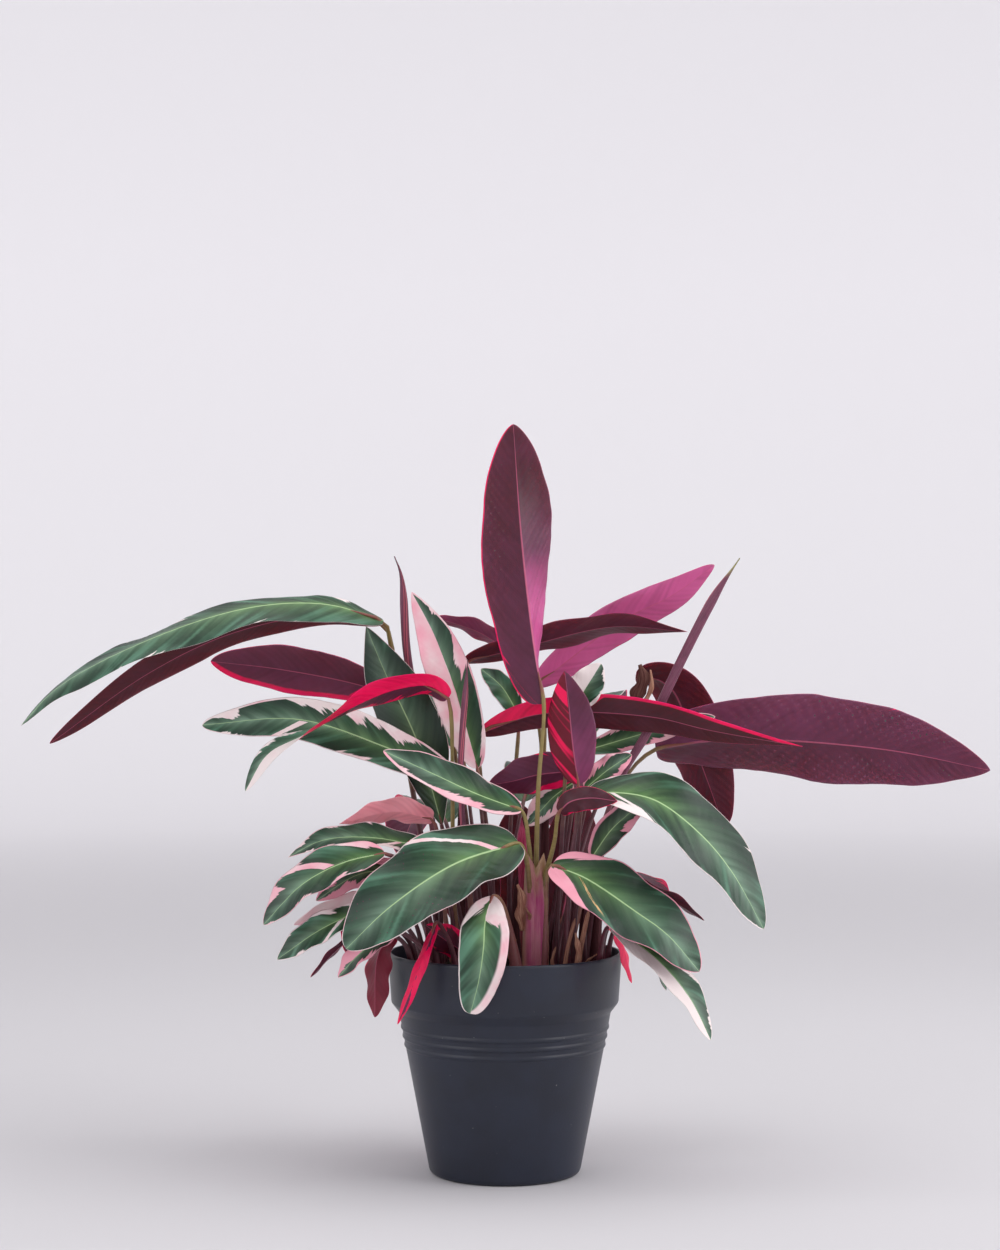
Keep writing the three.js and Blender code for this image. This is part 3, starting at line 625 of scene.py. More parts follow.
def relief(get, t, share, half, reach, vein, lower, lane):
    """How far the skin lies above the middle of the blade: quilting, thickness, groove and rib."""
    broad = (half * 60.0).at_most(1.0)
    quilt = get["Quilting"] * (share * (1.0 - share) * 4.0 * broad) * (vein * (2 * math.pi)).cos()
    pucker = noise(vector(get["Length"] * t * 26.0, reach * 34.0, lane + 5.0)) - 0.5
    quilt = quilt + pucker * get["Width"] * 0.11 * share * broad
    ends = (t * 30.0).at_most((1.0 - t) * 30.0).at_most(1.0).at_least(0.0)
    thick = get["Thickness"] * 0.5 * ((1.0 - share * share).at_least(0.0) ** 0.5) * ends
    near = reach * 900.0
    ridge = calc("EXPONENT", near * near * -1.0)
    ridge = ridge * (1.0 - t * 0.85) * ends * (half * 40.0).at_most(1.0)
    return (thick - ridge * GROOVE).towards(thick * -1.0 - ridge * RIB, lower) + quilt


print("outline, veins and thickness ready")

# %% The whole leaf
def leaf_tree():
    kinds = {label: "Float" for label in LEAF_INPUTS}
    kinds["Steps along"] = kinds["Steps round"] = "Int"
    tree, get = new_tree("leaf", kinds)
    sheet, t, share, side, right, lower = flat_sheet(tree, get)
    centre, up, across = midrib_under(tree, get, t)

    def both(label):
        """The number of the half that this point is on."""
        return get[label + " left"].towards(get[label + " right"], right)

    def veins_from(label):
        """How many veins from the marked one; a mark on the other half is far away."""
        gap = vein - get[label + " at"] * get["Length"] / get["Vein spacing"]
        if label == "Streak":
            gap = gap / get["Streak width"]
        return gap + (side - get[label + " side"]).size() * FAR_VEINS

    lane = get["Number"] * 3.7 + right * 11.0
    half, outline = half_width(get, t, lane)
    reach = share * half
    vein = vein_number(get, t, share, reach, lane)
    angle = both("Fold").towards(both("Tip fold"), t) * (math.pi / 180)
    turn = t * get["Waves"] * (2 * math.pi) + (1.0 - right) * 1.7
    ripple = get["Wave"] * share * share * outline * turn.sin()
    place = centre.plus(across.times(side * reach * angle.cos()))
    place = place.plus(up.times(reach * angle.sin() + ripple))
    normal = up.times(angle.cos()).minus(across.times(side * angle.sin()))
    place = place.plus(normal.times(relief(get, t, share, half, reach, vein, lower, lane)))

    cream, tone = both("Cream"), both("Tone")
    cream = cream + (get["Tip cream"] - cream) * t.step(0.1, 0.5) * get["Tip cream"].above(-0.5)
    tone = tone + (get["Tip tone"] - tone) * t.step(0.25, 0.8)
    # Everything that still reads the flat grid is stored before the grid is moved.
    geometry = store(sheet, "zone", lower, domain="FACE")
    for key, value in {
            "blade": vector(get["Length"] * t, side * reach, share * side),
            "veining": vector(vein, t, both("Margin")),
            "look": vector(cream, tone, get["Pink"]),
            "extra": vector(get["Light"], get["Number"], half),
            "streak": vector(veins_from("Streak"), veins_from("Scar"), 0.0),
            "place": place}.items():
        geometry = store(geometry, key, value, "FLOAT_VECTOR")
    moved = add_node(tree, "GeometryNodeSetPosition", Geometry=geometry,
                     Position=named(tree, "place", "FLOAT_VECTOR"))
    closed = add_node(tree, "GeometryNodeMergeByDistance", Geometry=moved, Distance=0.000003)
    return end_tree(join(closed, leaf_stem(tree, get)), (UPPER, UNDER, STALK))


LEAF_TREE = leaf_tree()
print("leaf tree with", len(LEAF_TREE.nodes), "nodes")

# %% [markdown]
# ## The leaves, one by one
# Each row gives the slot, the points of the stalk and of the midrib, the widest width, which way
# the upper side looks at the base (and at the tip, where it differs), how far each half is folded,
# and the leaf's looks. Pairs are the half left of the midrib and the half right of it, seen from
# the base with the upper side towards you. A leaf whose upper side looks away from the front shows
# its underside, and that is where the plant gets most of its red.

# %% One leaf
LINE_POINTS = 61
STALK_POINTS = 25
BLADE = 0.55
THIN_END = 1.1
UNDER_BLADE = 0.8
RIB_RUN = 0.12
HINGE_AT, HINGE_LENGTH, HINGE_SWELLING = 0.86, 0.06, 0.35
CLASP_HEIGHTS, CLASP_WIDENING = (140, 190), 0.55
BROAD_LEAF = 38
leaf_count = 0


def leaf_stalk(stalk, base, ribs, face, thick):
    """The stalk runs on under the blade as a rib. It swells where the blade is hinged on it, and
    near the soil it widens into the sheath that clasps its neighbours."""
    under = Vector(face).normalized() * -UNDER_BLADE
    reach = ribs[round(RIB_RUN * (LINE_POINTS - 1))]
    line, _ = smooth_line([*stalk, Vector(base) + under, reach + under], STALK_POINTS)
    shares = [k / (STALK_POINTS - 1) for k in range(STALK_POINTS)]
    girths = []
    for point, share in zip(line, shares):
        swelling = HINGE_SWELLING * math.exp(-((share - HINGE_AT) / HINGE_LENGTH) ** 2)
        end = min(1.0, (1 - share) * 12 + 0.25)
        clasp = 1 + CLASP_WIDENING * (1 - soft_step(point.z, *CLASP_HEIGHTS))
        girths.append((thick + (THIN_END - thick) * share + swelling) * end * clasp * MM)
    return line, {"face": [(0.0, 0.0, 1.0)] * STALK_POINTS, "girth": girths, "rise": shares}


def leaf(name, slot, stalk, rib, width, face, tip_face=None, fold=(12, 12), tip_fold=None,
         wave=1.5, waves=3.0, widest=0.46, blunt=(0.5, 0.62), thick=2.1, cream=(0.2, 0.2),
         tip_cream=-1.0, tone=(0.4, 0.4), tip_tone=None, pink=0.5, shade=0.4, margin=None,
         streak=(0.0, 0.01, 1), scar=(0.0, 0), red_and_shaded_stalk=0.9):
    """Grow one leaf and put it in the place of its node."""
    global leaf_count
    leaf_count += 1
    line, length = smooth_line(rib, LINE_POINTS)
    margin = margin or ((0.55, 0.55) if slot in ("green", "pink") else (0.1, 0.1))
    zeros = [0.0] * LINE_POINTS
    looks = [tuple(Vector(face).lerp(Vector(tip_face or face), k / (LINE_POINTS - 1)))
             for k in range(LINE_POINTS)]
    mesh = line_mesh(name, [(line, {"face": looks, "girth": zeros, "rise": zeros}),
                            leaf_stalk(stalk, rib[0], line, face, thick)])
    spacing = 5.0 + width * 0.06
    settings = {
        "Length": length * MM, "Width": width * MM, "Widest": widest,
        "Blunt base": blunt[0], "Blunt tip": blunt[1], "Wave": wave * MM, "Waves": waves,
        "Thickness": BLADE * MM, "Quilting": 0.007 * width * MM, "Vein spacing": spacing * MM,
        "Tip cream": tip_cream, "Tip tone": sum(tone) / 2 if tip_tone is None else tip_tone,
        "Pink": pink, "Light": shade,
        "Streak at": streak[0], "Streak width": streak[1], "Streak side": streak[2],
        "Scar at": scar[0], "Scar side": scar[1], "Red and shaded stalk": red_and_shaded_stalk, "Number": leaf_count,
    }
    for label, pair in zip(PAIRS, (fold, tip_fold or fold, cream, tone,
                                   (margin[0] * MM, margin[1] * MM))):
        settings[label + " left"], settings[label + " right"] = pair
    settings = {label: float(value) for label, value in settings.items()}
    settings["Steps along"] = 1 + max(24, round(length / spacing * 5))
    settings["Steps round"] = 1 + 4 * (12 if width > BROAD_LEAF else 8)
    piece = grow("foliage_" + name, mesh, LEAF_TREE, settings)
    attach(piece, "root")
    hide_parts("leaf_" + name)


print("ready to grow leaves of", LINE_POINTS, "steps")

# %% The tall leaves and those that reach far
leaf("tall_center", "purple", [(22, -22, 208), (24, -20, 280)], [(28, -16, 340), (21, -12, 382),
     (12, -8, 459), (6, 0, 543)], 60, (0, 1, 0), fold=(100, 0), tip_fold=(0, 0), widest=0.5,
     blunt=(0.3, 0.62), cream=(0, 0.14), tip_cream=0, tone=(0.95, 0.32), tip_tone=0.2, pink=0.9,
     margin=(0.1, 0.9), red_and_shaded_stalk=0.1)
leaf("right_big", "purple", [(56, 14, 122), (64, 20, 180), (77, 36, 250), (93, 52, 287)],
     [(113, 60, 304), (150, 60, 310), (200, 60, 311), (290, 60, 303), (364, 60, 288)], 72,
     (0, 0.95, 0.3), fold=(32, 4), tip_fold=(4, 0), wave=2, widest=0.48, blunt=(0.3, 0.72),
     cream=(0.1, 0.16), tone=(0.28, 0.5), tip_tone=0.4, pink=0.8)
leaf("left_big_upper", "green", [(-40, 30, 122), (-55, 34, 200), (-78, 34, 330), (-85, 32, 385)],
     [(-89, 20, 400), (-130, 8, 412), (-184, 4, 410), (-255, 4, 388), (-324, 0, 352),
     (-351, -4, 324)], 44, (0, -0.2, 1), fold=(-32, 10), tip_fold=(-24, 0), wave=2,
     blunt=(0.4, 0.75), cream=(0.1, 0.1), tone=(0.3, 0.3), pink=0.3, shade=0.52, margin=(0.2, 0.2))
leaf("left_big_lower", "purple", [(-36, 44, 122), (-58, 46, 220), (-80, 46, 340)], [(-90, 42, 398),
     (-140, 34, 404), (-202, 30, 391), (-262, 26, 362), (-334, 18, 310)], 30, (0, 0.7, 0.7),
     fold=(4, 4), wave=1, cream=(0, 0), tone=(0.12, 0.12), pink=0.6, shade=0.5)
leaf("left_mauve", "crimson", [(-26, 40, 122), (-48, 56, 220), (-66, 58, 314)], [(-76, 56, 340),
     (-108, 54, 352), (-168, 52, 364), (-219, 46, 370)], 38, (0, 0.95, 0.3), fold=(8, 8),
     widest=0.55, blunt=(0.5, 0.6), cream=(-0.1, 0.85), tip_cream=-0.3, tone=(0.34, 0.5), pink=0.7,
     margin=(0.3, 4))
leaf("left_dark", "green", [(-22, 12, 122), (-34, 14, 190)], [(-46, 18, 249), (-64, 22, 310),
     (-90, 24, 366), (-102, 20, 396)], 46, (0.25, -0.95, 0.1), fold=(14, 14), wave=2, widest=0.52,
     blunt=(0.8, 0.85), cream=(0.1, 0.12), tone=(0.3, 0.3), pink=0.4, shade=0.3, margin=(0.3, 0.3))
leaf("left_red", "crimson", [(-30, -10, 122), (-37, -9, 200), (-38, -8, 288), (-39, -8, 332)],
     [(-41, -9, 344), (-54, -10, 353), (-78, -11, 351), (-106, -15, 340), (-146, -22, 317),
     (-170, -25, 304), (-186, -27, 278)], 28, (0, 1.7, 1.2), tip_face=(-0.2, -1.1, 0.85),
     fold=(6, 6), blunt=(0.3, 0.6), cream=(1, 0.3), tone=(0.4, 0.35), pink=0.3, shade=0.6,
     red_and_shaded_stalk=0.2)
leaf("left_long", "green", [(-14, 4, 122), (-24, 3, 220)], [(-36, 2, 286), (-84, 2, 307),
     (-150, 6, 328), (-221, 8, 324)], 36, (0, -0.9, 0.4), fold=(8, 8), blunt=(0.5, 0.48),
     cream=(0.24, 0.34), tone=(0.5, 0.5), pink=0.4, shade=0.45, margin=(0.6, 1.4),
     streak=(0.62, 0.5, -1))
leaf("left_diagonal", "green", [(19, -26, 208), (17, -27, 240)], [(12, -27, 264), (-20, -30, 276),
     (-52, -34, 291), (-87, -32, 307)], 30, (0, -0.8, 0.6), cream=(0.4, 0.12), pink=0.6,
     shade=0.34, margin=(2.2, 0.6), red_and_shaded_stalk=0.2)
leaf("left_pink", "pink", [(-4, -8, 122), (-10, -6, 200), (-17, -3, 260)], [(-20, -2, 293),
     (-37, 2, 350), (-52, 4, 390), (-68, 6, 421)], 34, (0, -1, 0), wave=2, blunt=(0.5, 0.75),
     cream=(1.1, 0.34), tone=(0.8, 0.8), pink=0.55, shade=0.34, margin=(0.5, 1.2))
leaf("back_purple", "purple", [(-20, 30, 122), (-30, 32, 240), (-38, 32, 345)], [(-30, 30, 370),
     (10, 30, 380), (80, 32, 396), (135, 34, 392)], 32, (0, 0.6, 0.8), fold=(8, 8),
     blunt=(0.4, 0.9), cream=(0, 0), tone=(0.26, 0.2), shade=0.3)
leaf("back_mauve", "crimson", [(24, 40, 122), (27, 50, 220), (27, 58, 310)], [(22, 62, 351),
     (89, 62, 401), (125, 60, 419), (157, 58, 442)], 34, (-0.3, 0.9, 0.3), fold=(6, 6),
     blunt=(0.5, 0.6), cream=(0.05, 0.05), tone=(0.9, 1), tip_tone=1, pink=0.7)
leaf("center_striped", "crimson", [(38, -16, 122), (46, -15, 200)], [(53, -14, 282),
     (49, -15, 310), (46, -16, 340), (43, -16, 364)], 36, (0.1, 1, 0), fold=(10, 10), wave=1,
     blunt=(0.5, 0.8), cream=(0.2, 1), tone=(0.62, 0.1), pink=0.8, shade=1)
leaf("cream_tip", "pink", [(34, -6, 122), (40, -6, 220), (46, -2, 315)], [(50, 3, 336),
     (58, 3, 350), (70, 2, 369)], 25, (0, -1, 0.1), wave=1, blunt=(0.5, 0.6), cream=(0.9, 0.35),
     tone=(0.5, 0.5), pink=0.12, shade=0.45)
leaf("long_crimson", "crimson", [(-6, 10, 122), (-10, 12, 220), (-18, 12, 290)], [(-18, 13, 318),
     (26, 14, 332), (106, 14, 330), (150, 14, 320), (218, 14, 308)], 28, (0, 0.9, 0.4),
     fold=(4, 4), wave=1, widest=0.4, blunt=(0.5, 1), cream=(0, 2.2), tip_cream=0.02,
     tone=(0.15, 0.15), tip_tone=0.1, margin=(0.1, 2.3))
leaf("right_hanging", "purple", [(32, 44, 122), (62, 76, 240), (94, 94, 315)], [(101, 98, 352),
     (111, 98, 357), (128, 100, 348), (145, 102, 306), (168, 102, 243)], 50, (0, 0.6, 0.8),
     tip_face=(0.5, 0.9, 0), blunt=(0.5, 0.45), cream=(0, 0), tone=(0.22, 0.2))
print(leaf_count, "leaves so far")

# %% The middle leaves
leaf("mid_green", "green", [(24, 22, 122), (42, 36, 220)], [(57, 38, 303), (91, 38, 313),
     (126, 38, 323), (156, 38, 329)], 22, (0, -0.9, 0.4), cream=(0.36, 0.3), pink=0.6)
leaf("mid_small", "green", [(44, -8, 122), (52, -6, 220)], [(58, -4, 278), (75, -3, 292),
     (92, -2, 303)], 20, (0, -0.9, 0.4), cream=(0.4, 0.35), pink=0.8, shade=0.15)
leaf("front_right_upper", "green", [(44, -34, 122), (45, -37, 200), (50, -37, 250)],
     [(58, -38, 277), (80, -45, 278), (106, -51, 273), (136, -56, 251), (159, -58, 224),
     (182, -60, 183)], 52, (0.1, -0.6, 0.8), tip_face=(0.55, -0.8, 0.35), fold=(10, 10), wave=2,
     cream=(0.1, 0.24), tip_cream=0.1, tone=(0.3, 0.3), pink=0.2, shade=0.45, margin=(0.4, 0.8),
     streak=(0.14, 0.3, 1))
leaf("center_dark", "purple", [(40, 22, 122), (50, 20, 220), (60, 12, 276)], [(56, 8, 291),
     (25, 8, 288), (5, 8, 283), (-12, 8, 280)], 32, (0, 0.9, 0.4), cream=(0.15, 0.3), pink=0.8)
leaf("center_variegated", "pink", [(30, 30, 122), (44, 32, 220)], [(50, 30, 280), (36, 30, 270),
     (17, 28, 249)], 22, (0, -0.9, 0.4), cream=(0.5, 0.45), tone=(0.5, 0.5))
leaf("back_small", "green", [(4, 44, 122), (4, 58, 240)], [(10, 68, 330), (-2, 72, 350),
     (-18, 76, 364)], 20, (0, -0.9, 0.4), cream=(0.08, 0.08), pink=0.4, shade=0.5)
leaf("back_sliver", "crimson", [(18, 54, 122), (26, 70, 250), (29, 78, 336)], [(16, 82, 366),
     (-16, 86, 390), (-52, 88, 403)], 24, (0, 0.6, 0.8), cream=(0.1, 0.1), tone=(0.6, 0.6),
     pink=0.3, shade=0.6)
leaf("mid_right_dark", "green", [(48, -24, 122), (52, -26, 200)], [(62, -26, 230), (76, -27, 250),
     (91, -28, 264), (102, -28, 275)], 22, (0, -0.9, 0.4), cream=(0.15, 0.3), pink=0.8, shade=0.1,
     margin=(2.2, 0.5))
leaf("center_cupped", "purple", [(26, -28, 208), (35, -38, 242)], [(38, -47, 264), (46, -53, 272),
     (60, -57, 275), (79, -61, 273)], 18, (0, 0.9, -0.2), blunt=(0.3, 0.8), cream=(0.12, 0.1),
     tone=(0.12, 0.12), margin=(0.4, 0.2), red_and_shaded_stalk=0.1)
leaf("front_right_mid", "green", [(28, -42, 122), (29, -46, 190)], [(33, -50, 227), (56, -60, 219),
     (92, -72, 196), (113, -78, 181), (135, -82, 156)], 52, (0.2, -0.75, 0.6), fold=(8, 8), wave=2,
     blunt=(0.4, 0.6), cream=(0.34, 0.52), tip_cream=0.02, tone=(0.3, 0.3), pink=0.8,
     margin=(0.7, 0.6), scar=(0.2, 1), red_and_shaded_stalk=0.4)
leaf("right_maroon_tip", "purple", [(56, -16, 122), (58, -24, 190)], [(64, -32, 215),
     (90, -40, 211), (118, -52, 202), (140, -62, 189)], 24, (0, 0.5, 0.85), cream=(0, 0),
     tone=(0.15, 0.15))
print(leaf_count, "leaves so far")

# %% The low leaves and the big ones in front
leaf("low_right_hanging", "green", [(66, -35, 122), (68, -42, 166)], [(74, -57, 185),
     (105, -70, 164), (128, -76, 138), (143, -80, 108)], 28, (0.5, -0.7, 0.5), cream=(0.3, 0.9),
     tone=(0.4, 0.5), pink=0.25, shade=0.45)
leaf("low_right_maroon", "purple", [(73, -18, 122), (75, -22, 166)], [(82, -32, 186),
     (100, -42, 166), (114, -48, 138)], 22, (0.7, -0.2, 0.7), cream=(0, 0), tone=(0.15, 0.15))
leaf("low_right_crimson", "crimson", [(70, 2, 122), (71, 0, 162)], [(75, -8, 179), (83, -16, 170),
     (91, -24, 140)], 13, (-0.8, 0.4, -0.5), wave=0.8, cream=(1.1, 1.1), tone=(0.5, 0.5), pink=0.9)
leaf("front_left_big", "green", [(18, -31, 206), (15, -37, 230)], [(10, -41, 242), (-36, -66, 229),
     (-80, -84, 201), (-110, -92, 173)], 66, (-0.2, -0.75, 0.6), fold=(8, 8), wave=2,
     blunt=(0.4, 0.5), cream=(0.12, 0.1), tone=(0.3, 0.3), pink=0.45, margin=(0.7, 0.7),
     streak=(0.16, 0.45, 1), red_and_shaded_stalk=0.3)
leaf("front_center_small", "green", [(10, -44, 122), (8, -44, 152), (3, -46, 182), (-3, -54, 202)],
     [(-9, -66, 207), (-14, -86, 190), (-15, -96, 174), (-18, -98, 153), (-24, -98, 129)], 35,
     (0, -0.5, 0.9), thick=4, tip_face=(0, -1, -0.2), fold=(10, 10), blunt=(0.7, 0.4),
     cream=(0.9, 0.55), tip_cream=0.05, tone=(0.5, 0.4), pink=0.4, shade=0.6, margin=(5.2, 0.8),
     red_and_shaded_stalk=0.35)
leaf("low_left_first", "green", [(-34, -22, 122), (-40, -24, 200)], [(-53, -28, 237),
     (-96, -32, 245), (-130, -32, 243), (-155, -32, 231)], 26, (0, -0.6, 0.8), blunt=(0.5, 0.8),
     cream=(0.3, 0.28), streak=(0.25, 0.4, -1))
leaf("left_salmon", "pink", [(-46, -6, 122), (-47, -6, 200)], [(-52, -6, 256), (-80, -8, 262),
     (-120, -10, 253)], 24, (0, 0.8, 0.6), widest=0.36, blunt=(0.4, 1), cream=(1.1, 1.1),
     tone=(0.9, 0.9), pink=1)
leaf("low_left_second", "green", [(-46, -32, 122), (-54, -40, 190), (-70, -50, 226)],
     [(-85, -54, 236), (-115, -57, 229), (-143, -59, 214), (-170, -60, 186)], 36,
     (-0.2, -0.7, 0.7), blunt=(0.5, 0.6), cream=(0.3, 0.3), pink=0.6, margin=(0.6, 0.6),
     streak=(0.42, 0.6, 1))
leaf("low_left_third", "pink", [(-54, -12, 122), (-58, -16, 190)], [(-70, -20, 222),
     (-105, -26, 218), (-135, -32, 200)], 24, (0, -0.8, 0.6), cream=(0.55, 0.5), tone=(0.5, 0.5),
     pink=0.8, shade=0.3)
leaf("low_left_pale", "pink", [(-56, -28, 122), (-62, -31, 178)], [(-75, -34, 203),
     (-112, -38, 197), (-150, -42, 184)], 18, (0, -0.8, 0.6), cream=(0.97, 0.9), tone=(0.5, 0.5))
leaf("low_left_fifth", "green", [(-54, -42, 122), (-64, -48, 175), (-84, -55, 195)],
     [(-100, -58, 197), (-131, -62, 182), (-160, -64, 162)], 25, (-0.2, -0.8, 0.6),
     cream=(0.28, 0.3), pink=0.4, shade=0.5, streak=(0.3, 0.35, -1))
leaf("low_left_curl", "purple", [(-62, -32, 122), (-72, -36, 170)], [(-92, -40, 181),
     (-115, -42, 170), (-138, -46, 147)], 12, (0, 0.4, 0.9), wave=0.8, cream=(0, 0.1),
     tone=(0.25, 0.3), shade=0.3)
leaf("low_left_salmon", "green", [(-46, -52, 122), (-58, -57, 168)], [(-76, -63, 182),
     (-100, -67, 168), (-117, -68, 150)], 20, (-0.3, -0.7, 0.6), cream=(0.35, 0.6),
     tone=(0.5, 0.5), pink=0.85, shade=0.15)
leaf("low_left_hanging", "purple", [(-62, -20, 122), (-66, -21, 164)], [(-78, -25, 178),
     (-90, -30, 162), (-93, -34, 117)], 26, (0.5, 0.3, -0.8), tip_face=(0.6, 0.8, 0),
     cream=(0.1, 0.2), tone=(0.2, 0.25), pink=0.7, shade=0.78)
leaf("low_front_crimson", "crimson", [(-32, -50, 122), (-38, -56, 170)], [(-48, -66, 188),
     (-57, -78, 166), (-66, -81, 142), (-75, -80, 119)], 10, (0.3, 0.6, -0.7),
     tip_face=(0.5, 0.8, 0), wave=0.8, cream=(0.9, 0.6), tone=(0.5, 0.5), pink=0.6, shade=0.3)
leaf("low_front_magenta", "crimson", [(-14, -36, 122), (-16, -38, 148)], [(-24, -42, 162),
     (-40, -45, 172), (-56, -46, 184)], 24, (0, 0.9, 0.4), cream=(0.5, 0.3), tone=(0.25, 0.25),
     pink=0.8, shade=0.3)
print(leaf_count, "leaves so far")

# %% The leaves behind and inside
leaf("rear_left", "green", [(-26, 54, 122), (-36, 60, 220)], [(-44, 68, 248), (-54, 110, 260),
     (-70, 160, 248), (-86, 205, 212)], 54, (0, 0, 1), tip_face=(-0.2, 0.6, 0.8), wave=2.5,
     blunt=(0.5, 0.8), cream=(0.25, 0.3), pink=0.4, shade=0.5)
leaf("rear_center", "green", [(0, 60, 122), (6, 74, 220)], [(14, 90, 262), (24, 130, 284),
     (38, 180, 268), (52, 228, 218)], 56, (0, 0, 1), tip_face=(0.1, 0.7, 0.7), wave=2.5,
     blunt=(0.5, 0.8), cream=(0.2, 0.24), tone=(0.35, 0.35), pink=0.4, shade=0.45)
leaf("rear_right", "green", [(50, 40, 122), (64, 54, 190)], [(80, 72, 212), (98, 104, 204),
     (112, 134, 184), (120, 158, 156)], 46, (0.2, 0, 1), tip_face=(0.5, 0.6, 0.6),
     cream=(0.4, 0.25), pink=0.6, shade=0.45)
leaf("rear_low", "green", [(-14, 62, 122), (-16, 76, 170)], [(-18, 92, 186), (-20, 118, 180),
     (-22, 138, 158), (-24, 150, 124)], 42, (0, 0.2, 1), tip_face=(0, 0.9, 0.4), cream=(0.3, 0.35))
leaf("rear_low_left", "green", [(-50, 42, 122), (-60, 52, 172)], [(-74, 64, 192), (-92, 80, 190),
     (-108, 96, 172), (-120, 108, 144)], 40, (-0.2, 0, 1), tip_face=(-0.6, 0.6, 0.5),
     cream=(0.2, 0.5), pink=0.7)
leaf("rear_upper_right", "green", [(36, 56, 122), (44, 76, 240)], [(52, 96, 300), (62, 126, 330),
     (76, 160, 342), (92, 200, 330)], 44, (0, -0.4, 0.9), tip_face=(0, 0.2, 1), cream=(0.3, 0.25),
     tone=(0.45, 0.5), pink=0.4, shade=0.5)
leaf("rear_upper_left", "purple", [(-12, 46, 122), (-24, 68, 240)], [(-32, 88, 298),
     (-42, 118, 330), (-54, 156, 340), (-68, 196, 322)], 44, (0, -0.4, 0.9), tip_face=(0, 0.2, 1),
     cream=(0.25, 0.4), tone=(0.2, 0.2), shade=0.45)
leaf("inner_left", "purple", [(-18, 60, 122), (-19, 64, 148)], [(-20, 69, 166), (-26, 74, 196),
     (-30, 76, 222), (-34, 77, 244)], 48, (0, 0.9, 0.3), wave=1, blunt=(0.4, 0.7), cream=(0, 0.05),
     tone=(0.08, 0.12), shade=0.3)
leaf("inner_center", "purple", [(12, 66, 122), (13, 72, 150)], [(14, 78, 168), (14, 90, 200),
     (12, 98, 232), (9, 103, 262)], 50, (0, 0.9, 0.3), wave=1, blunt=(0.4, 0.7), cream=(0, 0.05),
     tone=(0.08, 0.12), shade=0.3)
leaf("inner_right", "purple", [(34, 60, 122), (37, 66, 148)], [(41, 70, 166), (48, 79, 200),
     (52, 86, 236), (54, 89, 272)], 46, (0, 0.9, 0.3), wave=1, blunt=(0.4, 0.7), cream=(0, 0.05),
     tone=(0.08, 0.12), shade=0.3)
print(leaf_count, "leaves grown")

# %% [markdown]
# ## Rolled young leaves
# A new stromanthe leaf comes out of its sheath rolled like a cigar, purple outside, with the free
# edge winding slowly round it. It is a line again: the section is a circle whose radius drops a
# little all the way round, so that the last point overlaps the first with a small step, and the
# section turns as it goes up, so the step becomes the winding edge.

# %% Rolled leaf material
def rolled_skin(tree):
    share, own, turn = attribute(tree, "roll").parts()
    bright = own.step(0.55, 0.9)
    mottle = noise(vector(share * 40.0, turn * 3.0, own * 9.0))
    edge = (turn - 0.5).size().step(0.40, 0.47)
    colour = blend(mottle, tint(92, 40, 66), tint(132, 66, 92))
    colour = blend(edge * 0.85, colour, tint(196, 92, 112))
    colour = blend(bright, colour, blend(mottle, tint(150, 20, 70), tint(196, 40, 96)))
    tip = (share + mottle * 0.04).step(0.97, 1.0) * (1.0 - bright)
    colour = blend(tip * own.step(0.3, 0.5), colour, tint(184, 176, 118))
    foot = 1.0 - share.step(0.25, 0.5)
    colour = blend(foot * 0.8, colour, tint(140, 92, 72))
    return colour, (turn * (26 * math.pi)).sin() * 0.5 + mottle


ROLLED = skin("rolled leaf", rolled_skin, 0.0003, 0.42, coat=0.15)
print("material:", ROLLED.name)

# %% Rolled leaves
def spear_tree():
    tree, get = new_tree("rolled leaf", {"Number": "Float", "Overlap": "Float", "Sides": "Int"})
    bones = add_node(tree, "GeometryNodeMeshToCurve", Mesh=get["Geometry"])
    length = add_node(tree, "GeometryNodeSplineParameter").beside("Factor")
    curve = store(bones, "share", length)
    curve = add_node(tree, "GeometryNodeSetCurveTilt", Curve=curve, Tilt=length * 5.0)
    turn = add_node(tree, "GeometryNodeInputIndex") / (get["Sides"] - 1.0)
    section = store(round_section(tree, get["Sides"]), "turn", turn)
    section = add_node(
        tree, "GeometryNodeSetPosition", Geometry=section,
        Position=position(tree).times(1.0 - get["Overlap"] * named(tree, "turn")))
    roll = vector(named(tree, "share"), get["Number"], named(tree, "turn"))
    return end_tree(store(sweep(curve, section), "roll", roll, "FLOAT_VECTOR"), (ROLLED,))


SPEAR_TREE = spear_tree()
SPEAR_POINTS = 81
SPEAR_FOOT = 2.1
POINT_AT, POINT_THINNING = 0.88, 0.88
# The name, the radius, the share of the length where it is reached, its number and its line.
SPEARS = [
    ("left", 3.4, 0.6, 0.1, [(-34, 18, 122), (-50, 34, 220), (-65, 38, 329), (-73, 38, 379),
                             (-77, 38, 434), (-82, 38, 448)]),
    ("middle", 2.5, 0.6, 0.2, [(-16, -20, 122), (-25, -18, 200), (-32, -15, 285),
                               (-27, -14, 372)]),
    ("right", 3.8, 0.6, 0.5, [(40, 4, 122), (62, 10, 220), (87, 24, 287), (104, 27, 316),
                              (129, 22, 369), (155, 16, 420), (172, 14, 446)]),
    ("young", 4.0, 0.4, 1.0, [(14, -8, 122), (14, -9, 185), (12, -12, 258)]),
]

